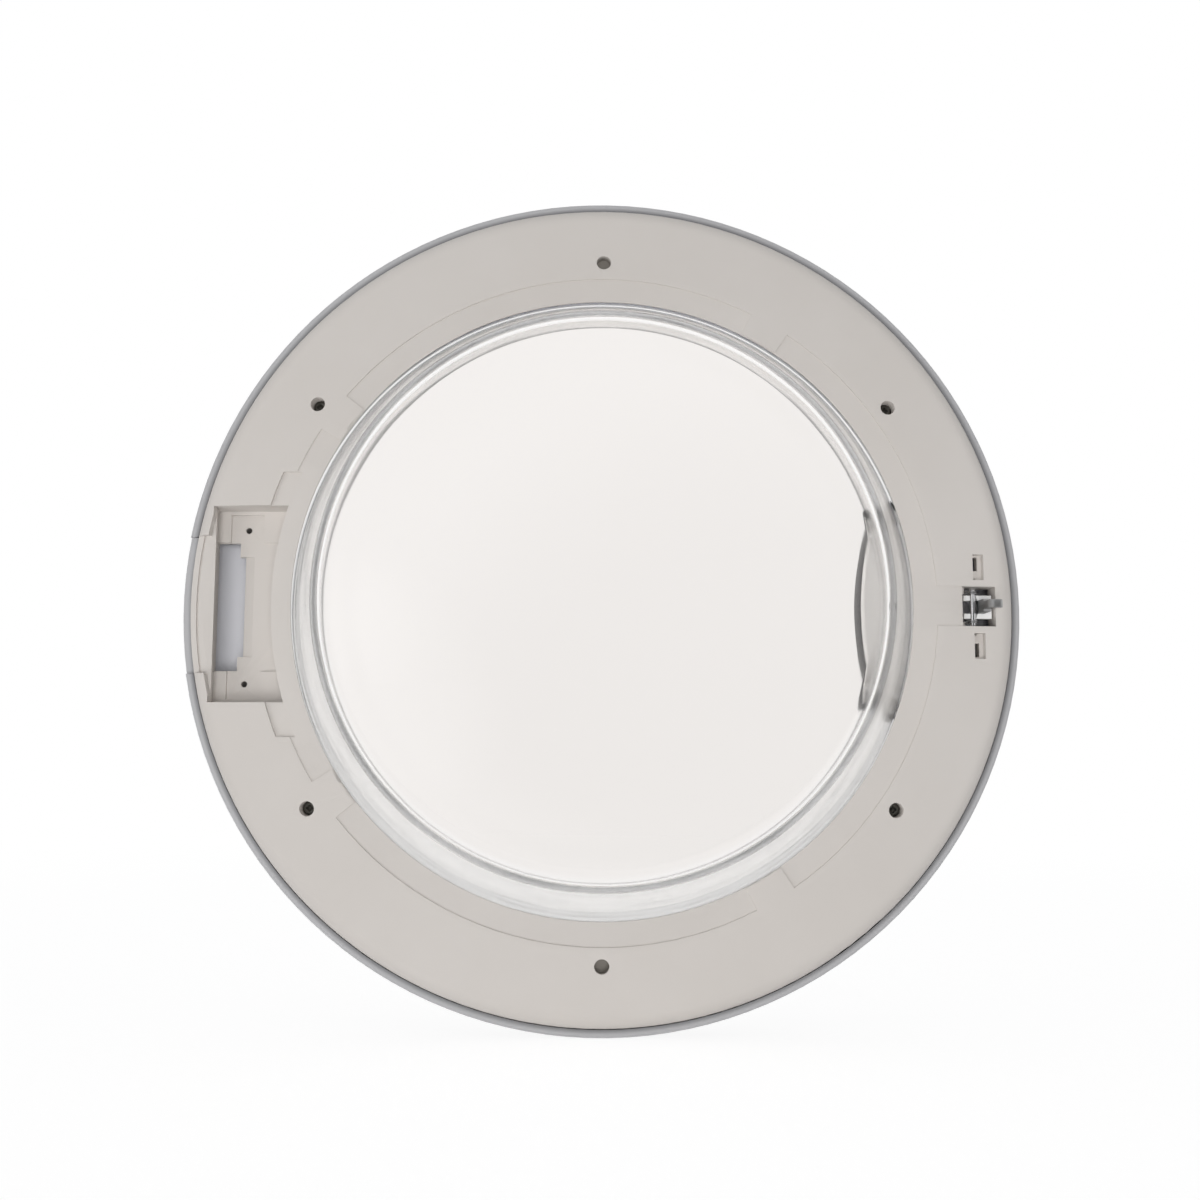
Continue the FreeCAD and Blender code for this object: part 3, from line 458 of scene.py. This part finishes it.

# %% [markdown]
# ## The frames and the small metal and plastic pieces
#
# The inner frame, the outer frame and the latch pieces keep their CAD shapes. Each is copied and
# welded, and most are eased along their edges by about the radius that their making leaves: about
# a third of a millimetre for the mouldings and the casting, a little less for small or turned
# pieces. The outer frame and the frame screws stay as CAD made them. The faces inside the outer
# frame's rim that face rearwards get an attribute that the finish reads to paint them lighter,
# which is painted light for the frame's deep slot.

# %% Eased copies of the CAD pieces
RIM_INSIDE = 206.0 * MM
FACING_REAR = -0.3
CAD_PIECES = [
    # piece, body, node, slot, rounding in millimetres, its steps, largest smooth angle in degrees
    ("inner_ring", "door", "inner_frame", "inner_plastic", 0.35, 2, 25.0),
    ("outer_ring", "door", "outer_frame", "outer_plastic", 0.0, 0, 25.0),
    ("pull_handle", "door", "door_handle", "handle_plastic", 0.3, 2, 30.0),
    ("hook_block", "hook", "hook_carrier", "carrier_plastic", 0.25, 2, 30.0),
    ("hook_claw", "hook", "latch_hook", "hook_steel", 0.35, 3, 30.0),
    ("pin_rod", "door", "hook_pin", "pin_steel", 0.25, 2, 30.0),
    ("ring_screws", "door", "frame_screws", "screw_steel", 0.0, 0, 30.0),
    ("grip_screws", "door", "handle_screws", "screw_steel", 0.2, 2, 30.0),
]


def mark_painted_light_inside(mesh):
    """Sets an attribute to 1 on the rear faces within the outer frame's rim, which get painted
    light.
    """
    painted_light_inside = mesh.loops.layers.float.new("painted_light_inside")
    for face in mesh.faces:
        middle = face.calc_center_median()
        if face.normal.y < FACING_REAR and math.hypot(middle.x, middle.z) < RIM_INSIDE:
            for corner in face.loops:
                corner[painted_light_inside] = 1.0


for name, body, node, slot, rounding, steps, smooth in CAD_PIECES:
    copied = welded_copy(node)
    if rounding:
        ease_edges(copied, rounding * MM, steps)
    if node == "outer_frame":
        mark_painted_light_inside(copied)
    pieces[node] = finish_piece(name, body, copied, node, smooth)

# %% [markdown]
# ## The hook's spring
#
# A double torsion spring is one wire: a bar behind the hook's block, a coil round the pin at each
# end and a leg that rests in the well. A helix is what spin makes when every step also moves along
# the axis. So half the wire is drawn from its middle as a circle that is pushed, bent, coiled and
# bent again, its end is capped, and mirror adds the other half.

# %% Push and turn a loop of edges
def push(mesh, loop, way):
    """Extrudes an edge loop along a way in millimetres and returns the new loop."""
    fresh = bmesh.ops.extrude_edge_only(mesh, edges=loop)["geom"]
    moved = [v for v in fresh if isinstance(v, bmesh.types.BMVert)]
    bmesh.ops.translate(mesh, vec=Vector(way) * MM, verts=moved)
    edges = [e for e in fresh if isinstance(e, bmesh.types.BMEdge)]
    return [e for e in edges if e.verts[0] in moved and e.verts[1] in moved]


def turn(mesh, loop, centre, axis, degrees, steps, climb=0.0):
    """Spins an edge loop about a centre in millimetres and returns the last loop."""
    made = bmesh.ops.spin(mesh, geom=loop, cent=Vector(centre) * MM, axis=axis,
                          angle=math.radians(degrees), dvec=(0, 0, climb * MM / steps),
                          steps=steps)["geom_last"]
    return [e for e in made if isinstance(e, bmesh.types.BMEdge)]


print("wire helpers:", push.__name__, turn.__name__)

# %% Wind the spring
WIRE, WIRE_SIDES = 0.35, 14
COIL, COIL_LOW, COIL_HIGH = 2.05, 6.55, 7.99
COIL_TURN, COIL_STEPS = -630, 84
LEG, LEG_TURN, LEG_STEPS = 4.2, 46, 6
LEG_END = (-1.35, 1.3, 0)
BAR_DEPTH = 4.65
BEND, BEND_STEPS = 0.9, 8
PIN_X, PIN_DEPTH = 187.6, 9.0

wire = bmesh.new()
bmesh.ops.create_circle(wire, segments=WIRE_SIDES, radius=WIRE * MM)
bmesh.ops.translate(wire, vec=Vector((-LEG, BAR_DEPTH, 0)) * MM, verts=wire.verts)
wire_end = push(wire, wire.edges[:], (0, 0, COIL_LOW - BEND))
bend_centre = (-LEG + BEND, BAR_DEPTH, COIL_LOW - BEND)
wire_end = turn(wire, wire_end, bend_centre, (0, 1, 0), 90, BEND_STEPS)
wire_end = push(wire, wire_end, (LEG - BEND, COIL - BAR_DEPTH, 0))
wire_end = turn(wire, wire_end, (0, 0, 0), (0, 0, 1), COIL_TURN, COIL_STEPS,
                climb=COIL_HIGH - COIL_LOW)
wire_end = turn(wire, wire_end, (-COIL - BEND, 0, 0), (0, 0, 1), LEG_TURN, LEG_STEPS)
wire_end = push(wire, wire_end, LEG_END)
bmesh.ops.contextual_create(wire, geom=wire_end)
bmesh.ops.mirror(wire, geom=wire.verts[:] + wire.edges[:] + wire.faces[:], axis="Z",
                 merge_dist=WELD)
bmesh.ops.remove_doubles(wire, verts=wire.verts, dist=WELD)
bmesh.ops.translate(wire, vec=(PIN_X * MM, depth(PIN_DEPTH), 0), verts=wire.verts)
bmesh.ops.recalc_face_normals(wire, faces=wire.faces)
pieces["hook_spring"] = finish_piece("spring_wire", "door", wire, "hook_spring")

# %% [markdown]
# ## Shared surface effects
#
# Moulded plastic is never quite one colour: the melt flows, the tool is spark-textured, and dust
# settles in it. One node group makes a soft mottling and a fine grain from Object coordinates, and
# each plastic uses it at its own scale. A second group draws the fine random scuffs of handling. A
# third gives the distance from the door's axis, for marks that run round it.

# %% Node group: mould grain
def new_group(name, inputs, outputs):
    """An empty shader node group with named number sockets."""
    group = bpy.data.node_groups.new(name, "ShaderNodeTree")
    for label, value in inputs:
        socket = group.interface.new_socket(label, in_out="INPUT", socket_type="NodeSocketFloat")
        socket.default_value = value
    for label in outputs:
        group.interface.new_socket(label, in_out="OUTPUT", socket_type="NodeSocketFloat")
    enter = group.nodes.new("NodeGroupInput")
    leave = group.nodes.new("NodeGroupOutput")
    return group, enter, leave


mould, mould_in, mould_out = new_group(
    "mould_grain", [("Cloud Scale", 14.0), ("Grain Scale", 2600.0)], ["Cloud", "Grain"])
mould_place = mould.nodes.new("ShaderNodeTexCoord").outputs["Object"]
cloud = mould.nodes.new("ShaderNodeTexNoise")
cloud.inputs["Detail"].default_value = 4.0
cloud.inputs["Roughness"].default_value = 0.6
grain = mould.nodes.new("ShaderNodeTexNoise")
grain.inputs["Detail"].default_value = 2.0
mould.links.new(mould_place, cloud.inputs["Vector"])
mould.links.new(mould_place, grain.inputs["Vector"])
mould.links.new(mould_in.outputs["Cloud Scale"], cloud.inputs["Scale"])
mould.links.new(mould_in.outputs["Grain Scale"], grain.inputs["Scale"])
mould.links.new(cloud.outputs["Fac"], mould_out.inputs["Cloud"])
mould.links.new(grain.outputs["Fac"], mould_out.inputs["Grain"])
print("group made:", mould.name)

# %% Node group: handling scuffs
scuffs, scuffs_in, scuffs_out = new_group(
    "handling_scuffs", [("Scale", 60.0), ("Amount", 0.5)], ["Scuff"])
scuff_place = scuffs.nodes.new("ShaderNodeTexCoord")
scuff_turn = scuffs.nodes.new("ShaderNodeMapping")
scuff_turn.inputs["Rotation"].default_value = (0.3, 0.9, 0.5)
scuff_turn.inputs["Scale"].default_value = (1.0, 1.0, 14.0)
scuff_noise = scuffs.nodes.new("ShaderNodeTexNoise")
scuff_noise.inputs["Detail"].default_value = 5.0
scuff_ramp = scuffs.nodes.new("ShaderNodeMapRange")
scuff_ramp.inputs["From Min"].default_value = 0.62
scuff_ramp.inputs["From Max"].default_value = 0.75
scuffs.links.new(scuff_place.outputs["Object"], scuff_turn.inputs["Vector"])
scuffs.links.new(scuff_turn.outputs["Vector"], scuff_noise.inputs["Vector"])
scuffs.links.new(scuffs_in.outputs["Scale"], scuff_noise.inputs["Scale"])
scuffs.links.new(scuff_noise.outputs["Fac"], scuff_ramp.inputs["Value"])
scuffs.links.new(scuffs_in.outputs["Amount"], scuff_ramp.inputs["To Max"])
scuffs.links.new(scuff_ramp.outputs["Result"], scuffs_out.inputs["Scuff"])
print("group made:", scuffs.name)

# %% Node group: distance from the door's axis
def object_axes(tree):
    """The X, Y and Z sockets of the Object coordinates."""
    split = tree.nodes.new("ShaderNodeSeparateXYZ")
    tree.links.new(tree.nodes.new("ShaderNodeTexCoord").outputs["Object"], split.inputs[0])
    return split.outputs


def hypotenuse(tree, first, second):
    """The length of a step that goes so far one way and so far square to it."""
    squares = [math_node(tree, "POWER", side, 2.0) for side in (first, second)]
    return math_node(tree, "SQRT", math_node(tree, "ADD", *squares))


ring, _, ring_out = new_group("from_axis", [], ["Distance"])
ring_axes = object_axes(ring)
ring.links.new(hypotenuse(ring, ring_axes["X"], ring_axes["Z"]), ring_out.inputs["Distance"])


def from_axis(tree):
    """A socket with the distance from the door's axis in metres."""
    node = tree.nodes.new("ShaderNodeGroup")
    node.node_tree = ring
    return node.outputs["Distance"]


print("group made:", ring.name)

# %% [markdown]
# ## Plastics
#
# The inner frame is a warm off-white with a dull satin skin, the outer frame a silver-grey with a
# little more gloss, the carrier a clean white and the handle pale. They share one recipe: two
# close colours mixed by the cloud, roughness from cloud and scuffs, and a hair of bump from the
# grain.

# %% Helpers for finishes
RELIEF = 0.1 * MM


def colour_mix(tree, share, first, second):
    """A colour that goes from the first to the second with a share, each a colour or a socket."""
    node = tree.nodes.new("ShaderNodeMix")
    node.data_type = "RGBA"
    tree.links.new(share, node.inputs["Factor"])
    for label, colour in (("A", first), ("B", second)):
        if isinstance(colour, tuple):
            node.inputs[label].default_value = (*colour, 1)
        else:
            tree.links.new(colour, node.inputs[label])
    return node.outputs["Result"]


def about(tree, noise, middle, spread):
    """A number that wanders about its middle with a noise from 0 to 1."""
    node = tree.nodes.new("ShaderNodeMapRange")
    node.inputs["To Min"].default_value = middle - spread
    node.inputs["To Max"].default_value = middle + spread
    tree.links.new(noise, node.inputs["Value"])
    return node.outputs["Result"]


def relief(tree, height, strength):
    """A normal bent by a fine height map."""
    node = tree.nodes.new("ShaderNodeBump")
    node.inputs["Strength"].default_value = strength
    node.inputs["Distance"].default_value = RELIEF
    tree.links.new(height, node.inputs["Height"])
    return node.outputs["Normal"]


print("finish helpers:", colour_mix.__name__, about.__name__, relief.__name__)

# %% Recipe for a moulded plastic
def moulded_plastic(name, dark, light, rough, spread, cloud_scale, grain_scale, bump, scuff):
    """A procedural plastic: mottled colour, uneven gloss and a fine tool texture."""
    material = bpy.data.materials.new(name)
    material.use_nodes = True
    tree = material.node_tree
    shader = tree.nodes["Principled BSDF"]
    skin = tree.nodes.new("ShaderNodeGroup")
    skin.node_tree = mould
    skin.inputs["Cloud Scale"].default_value = cloud_scale
    skin.inputs["Grain Scale"].default_value = grain_scale
    marks = tree.nodes.new("ShaderNodeGroup")
    marks.node_tree = scuffs
    marks.inputs["Amount"].default_value = scuff
    tint = colour_mix(tree, skin.outputs["Cloud"], dark, light)
    tree.links.new(tint, shader.inputs["Base Color"])
    dull = about(tree, skin.outputs["Cloud"], rough, spread)
    worn = math_node(tree, "ADD", dull, marks.outputs["Scuff"])
    worn.node.use_clamp = True
    tree.links.new(worn, shader.inputs["Roughness"])
    tree.links.new(relief(tree, skin.outputs["Grain"], bump), shader.inputs["Normal"])
    return material


print("recipe:", moulded_plastic.__name__)

# %% Four plastics
off_white = moulded_plastic(
    "off_white_moulding", dark=(0.585, 0.548, 0.512), light=(0.655, 0.622, 0.592), rough=0.52,
    spread=0.08, cloud_scale=9.0, grain_scale=2600.0, bump=0.12, scuff=0.12)
silver_grey = moulded_plastic(
    "silver_grey_moulding", dark=(0.43, 0.428, 0.438), light=(0.49, 0.488, 0.498), rough=0.34,
    spread=0.06, cloud_scale=22.0, grain_scale=3200.0, bump=0.06, scuff=0.15)
clean_white = moulded_plastic(
    "white_carrier", dark=(0.80, 0.80, 0.785), light=(0.87, 0.87, 0.86), rough=0.36,
    spread=0.05, cloud_scale=160.0, grain_scale=3000.0, bump=0.05, scuff=0.1)
pale_grip = moulded_plastic(
    "pale_grip_painted_shade", dark=(0.78, 0.78, 0.775), light=(0.85, 0.85, 0.845), rough=0.36,
    spread=0.07, cloud_scale=40.0, grain_scale=2400.0, bump=0.1, scuff=0.2)
print("plastics:", off_white.name, silver_grey.name, clean_white.name, pale_grip.name)

# %% [markdown]
# ## Marks on the plastics
#
# Some plastics change colour from place to place, and here these marks are painted light and
# shade. The inside of the outer frame is painted lighter, as painted light for its deep slot.
# Painted shade darkens the seam where the two frames meet, the bottoms of the blind holes, and the
# handle's wall for the fingers and its ends. Each mark is a mask worked out from the place on the
# piece, or from the attribute, and a second colour laid over the first.

# %% Painted light on the outer frame's inside, and painted shade in the seam between the two frames
PAINTED_LIGHT_INSIDE = (0.82, 0.82, 0.86)
SEAM = 209.2 * MM
SEAM_START, SEAM_FULL, SEAM_END = SEAM - 1.5 * MM, SEAM - 0.5 * MM, SEAM + 3.0 * MM
SEAM_SHADE_SHARE, SEAM_SHADE_COLOUR = 0.75, (0.10, 0.10, 0.105)
EDGE_SHADE_START, EDGE_SHADE_FULL = SEAM - 0.9 * MM, SEAM - 0.3 * MM
EDGE_SHADE_SHARE, EDGE_SHADE_COLOUR = 0.7, (0.12, 0.11, 0.10)


def over_colour(material, share, colour):
    """Lays a colour over a plastic's own colour where a mask says so."""
    tree = material.node_tree
    base = tree.nodes["Principled BSDF"].inputs["Base Color"]
    own = base.links[0].from_socket
    tree.links.new(colour_mix(tree, share, own, colour), base)


silver = silver_grey.node_tree
# Painted light: the rear-facing faces inside the outer frame's rim get a lighter colour, so its
# deep slot looks lit.
inside_light_node = silver.nodes.new("ShaderNodeAttribute")
inside_light_node.attribute_name = "painted_light_inside"
over_colour(silver_grey, inside_light_node.outputs["Fac"], PAINTED_LIGHT_INSIDE)
# Painted shade: a dark ring on the outer frame where the two frames meet.
seam_starts = ramp(silver, from_axis(silver), SEAM_START, SEAM_FULL, 0.0, 1.0)
seam_fades = ramp(silver, from_axis(silver), SEAM, SEAM_END, SEAM_SHADE_SHARE, 0.0)
over_colour(silver_grey, math_node(silver, "MULTIPLY", seam_fades, seam_starts), SEAM_SHADE_COLOUR)
cream = off_white.node_tree
# Painted shade: the inner frame's outermost edge darkens towards the seam.
edge_shade = ramp(cream, from_axis(cream), EDGE_SHADE_START, EDGE_SHADE_FULL, 0.0, EDGE_SHADE_SHARE)
over_colour(off_white, edge_shade, EDGE_SHADE_COLOUR)
print("seam at", round(SEAM / MM, 1), "mm")

# %% Painted shade at the bottom of the blind holes
WELL = (0.0, 177.2, 3.9)
WELL_SHADE_DEPTHS, WELL_SHADE_COLOUR = (3.0, 8.0), (0.14, 0.125, 0.105)
HINGE_HOLE = (-183.3, 39.75, 1.8)
HINGE_SHADE_DEPTHS, HINGE_SHADE_COLOUR = (24.0, 27.0), (0.05, 0.045, 0.04)
HOLE_EDGE = 0.3
HOLE_SHADE_SHARE = 0.8


def in_hole(tree, hole, depths):
    """A mask for a pair of holes (X, plus and minus Z, radius) that grows between two depths."""
    x, z, radius = hole
    axes = object_axes(tree)
    across = math_node(tree, "SUBTRACT", axes["X"], x * MM)
    along = math_node(tree, "SUBTRACT", math_node(tree, "ABSOLUTE", axes["Z"]), z * MM)
    arm = hypotenuse(tree, across, along)
    inside = ramp(tree, arm, radius * MM, (radius + HOLE_EDGE) * MM, 1.0, 0.0)
    start, full = (depth(mm) for mm in depths)
    return math_node(tree, "MULTIPLY", inside, ramp(tree, axes["Y"], start, full, 0.0, HOLE_SHADE_SHARE))


# Painted shade: the wells and the hinge holes darken with depth towards their bottoms.
over_colour(off_white, in_hole(cream, WELL, WELL_SHADE_DEPTHS), WELL_SHADE_COLOUR)
over_colour(off_white, in_hole(cream, HINGE_HOLE, HINGE_SHADE_DEPTHS), HINGE_SHADE_COLOUR)
print("dark holes: two wells and two hinge holes")

# %% Painted shade on the grip's inner wall and its ends
GRIP_CENTRE = 281.2 * MM
GRIP_INSIDE = 146.9 * MM
GRIP_LINE = 0.1 * MM
GRIP_END = 52.0 * MM
GRIP_TIP = 1.0 * MM
GRIP_SHADE_COLOUR = (0.035, 0.035, 0.038)

grip = pale_grip.node_tree
grip_axes = object_axes(grip)
grip_x = math_node(grip, "SUBTRACT", grip_axes["X"], GRIP_CENTRE)
grip_arm = hypotenuse(grip, grip_x, grip_axes["Z"])
grip_wall = ramp(grip, grip_arm, GRIP_INSIDE - GRIP_LINE, GRIP_INSIDE + GRIP_LINE, 0.0, 1.0)
grip_high = math_node(grip, "ABSOLUTE", grip_axes["Z"])
grip_tip = ramp(grip, grip_high, GRIP_END - GRIP_TIP, GRIP_END + GRIP_TIP, 0.0, 1.0)
# Painted shade: the handle's inner wall and both ends are coloured near-black.
over_colour(pale_grip, math_node(grip, "MAXIMUM", grip_wall, grip_tip), GRIP_SHADE_COLOUR)
print("grip wall from", round(GRIP_INSIDE / MM, 1), "mm")

# %% [markdown]
# ## Metals
#
# The hook is a dull casting, the pin and spring are bright drawn steel and the screws are dark
# zinc. All are the same shader at full metallic; the drawn ones get a stretched noise along the
# drawing direction, the cast one a coarse, pitted grain.

# %% Recipe for a metal
def metal(name, dark, light, rough, spread, stretch, scale, bump):
    """A procedural metal whose noise is scaled along Z by the given factor."""
    material = bpy.data.materials.new(name)
    material.use_nodes = True
    tree = material.node_tree
    shader = tree.nodes["Principled BSDF"]
    shader.inputs["Metallic"].default_value = 1.0
    place = tree.nodes.new("ShaderNodeTexCoord")
    drawn = tree.nodes.new("ShaderNodeMapping")
    drawn.inputs["Scale"].default_value = (1.0, 1.0, stretch)
    tree.links.new(place.outputs["Object"], drawn.inputs["Vector"])
    noise = tree.nodes.new("ShaderNodeTexNoise")
    noise.inputs["Scale"].default_value = scale
    noise.inputs["Detail"].default_value = 4.0
    tree.links.new(drawn.outputs["Vector"], noise.inputs["Vector"])
    pits = noise.outputs["Fac"]
    tree.links.new(colour_mix(tree, pits, dark, light), shader.inputs["Base Color"])
    tree.links.new(about(tree, pits, rough, spread), shader.inputs["Roughness"])
    tree.links.new(relief(tree, pits, bump), shader.inputs["Normal"])
    return material


cast_grey = metal("cast_hook", dark=(0.30, 0.30, 0.30), light=(0.42, 0.42, 0.42), rough=0.46,
                  spread=0.08, stretch=1.0, scale=1400.0, bump=0.25)
drawn_steel = metal("drawn_pin", dark=(0.62, 0.62, 0.63), light=(0.74, 0.74, 0.75), rough=0.22,
                    spread=0.06, stretch=0.08, scale=1800.0, bump=0.05)
spring_steel = metal("spring_steel", dark=(0.42, 0.42, 0.43), light=(0.55, 0.55, 0.56), rough=0.28,
                     spread=0.06, stretch=0.3, scale=1500.0, bump=0.05)
dark_zinc = metal("dark_zinc", dark=(0.10, 0.10, 0.09), light=(0.17, 0.165, 0.15), rough=0.42,
                  spread=0.08, stretch=1.0, scale=900.0, bump=0.08)
print("metals:", cast_grey.name, drawn_steel.name, spring_steel.name, dark_zinc.name)

# %% [markdown]
# ## Clear glass
#
# The bowl is a plain refracting glass. A thin film of soap gives its pane the faintest warm tone in
# patches and lifts its roughness in places, while the machine's rubber seal wipes the wall clean.
# The pane's tint is also made darker towards the bottom, which is painted shade. Pressing leaves
# the wall and the corner less even than the pane, so there a slow ripple and a trace of roughness
# soften the bright and dark rings. Light that only passes through to light something else shouldn't
# be stopped by it, so shadow rays see it as clear.

# %% Glass with its film of soap and painted shade below
FILM_THIN, FILM_DARK_AND_SHADE = (0.907, 0.880, 0.860), (0.87, 0.842, 0.82)
PANE_SHADE_LOW, PANE_SHADE_HIGH, FILM_AND_SHADE_HALF = -110 * MM, 60 * MM, 0.5
WIPED = (0.985, 0.983, 0.98)
PANE_END, WALL_START = 128.0 * MM, 136.0 * MM

glass = bpy.data.materials.new("clear_pressed_glass")
glass.use_nodes = True
clear = glass.node_tree
glass_shader = clear.nodes["Principled BSDF"]
glass_shader.inputs["IOR"].default_value = 1.5
glass_shader.inputs["Transmission Weight"].default_value = 1.0
glass_place = clear.nodes.new("ShaderNodeTexCoord").outputs["Object"]
film = clear.nodes.new("ShaderNodeTexNoise")
film.inputs["Scale"].default_value = 5.0
film.inputs["Detail"].default_value = 6.0
film.inputs["Roughness"].default_value = 0.65
clear.links.new(glass_place, film.inputs["Vector"])
# Painted shade: the pane's tint grows darker towards the bottom.
pane_shade_below = ramp(clear, object_axes(clear)["Z"], PANE_SHADE_LOW, PANE_SHADE_HIGH, FILM_AND_SHADE_HALF, 0.0)
film_patches = math_node(clear, "MULTIPLY", film.outputs["Fac"], FILM_AND_SHADE_HALF)
film_and_shade_share = math_node(clear, "ADD", film_patches, pane_shade_below)
film_and_shade_tint = colour_mix(clear, film_and_shade_share, FILM_THIN, FILM_DARK_AND_SHADE)
glass_wall = ramp(clear, from_axis(clear), PANE_END, WALL_START, 0.0, 1.0)
glass_tint = colour_mix(clear, glass_wall, film_and_shade_tint, WIPED)
clear.links.new(glass_tint, glass_shader.inputs["Base Color"])
print("film on the pane to", round(PANE_END / MM, 1), "mm from the axis")

# %% Uneven pressed wall
PRESSED_START, PRESSED_FULL = 113.0 * MM, 131.0 * MM
PRESSED_ROUGH = 0.09
RIPPLE_DEPTH = 0.8 * MM

film_range = clear.nodes.new("ShaderNodeMapRange")
film_range.inputs["From Min"].default_value = 0.5
film_range.inputs["From Max"].default_value = 0.8
film_range.inputs["To Min"].default_value = 0.0
film_range.inputs["To Max"].default_value = 0.035
clear.links.new(film.outputs["Fac"], film_range.inputs["Value"])
pressed = ramp(clear, from_axis(clear), PRESSED_START, PRESSED_FULL, 0.0, 1.0)
pressed_rough = math_node(clear, "MULTIPLY", pressed, PRESSED_ROUGH)
glass_rough = math_node(clear, "ADD", film_range.outputs["Result"], pressed_rough)
clear.links.new(glass_rough, glass_shader.inputs["Roughness"])
ripple = clear.nodes.new("ShaderNodeTexNoise")
ripple.inputs["Scale"].default_value = 20.0
ripple.inputs["Detail"].default_value = 1.0
clear.links.new(glass_place, ripple.inputs["Vector"])
ripple_bump = clear.nodes.new("ShaderNodeBump")
ripple_bump.inputs["Distance"].default_value = RIPPLE_DEPTH
ripple_height = math_node(clear, "MULTIPLY", ripple.outputs["Fac"], pressed)
clear.links.new(ripple_height, ripple_bump.inputs["Height"])
clear.links.new(ripple_bump.outputs["Normal"], glass_shader.inputs["Normal"])
print("pressed wall from", round(PRESSED_START / MM, 1), "mm from the axis")

# %% Clear for shadow rays
glass_open = clear.nodes.new("ShaderNodeBsdfTransparent")
glass_rays = clear.nodes.new("ShaderNodeLightPath")
glass_all = mixed(clear, glass_rays.outputs["Is Shadow Ray"], glass_shader.outputs[0],
                  glass_open.outputs[0])
clear.links.new(glass_all, clear.nodes["Material Output"].inputs["Surface"])
print("glass nodes:", len(clear.nodes))

# %% [markdown]
# ## Dress the door
#
# Each piece gets its finish. The CAD node that it stands for gets the same one, so the two look
# alike wherever the node is shown instead.

# %% Give each piece its finish
finishes = {
    "inner_frame": off_white,
    "outer_frame": silver_grey,
    "door_handle": pale_grip,
    "hook_carrier": clean_white,
    "latch_hook": cast_grey,
    "hook_pin": drawn_steel,
    "hook_spring": spring_steel,
    "frame_screws": dark_zinc,
    "handle_screws": dark_zinc,
    "glass_bowl": glass,
}
for node, material in finishes.items():
    for dressed in (pieces[node], nodes[node]):
        dressed.data.materials.clear()
        dressed.data.materials.append(material)
print("finished pieces:", len(finishes))
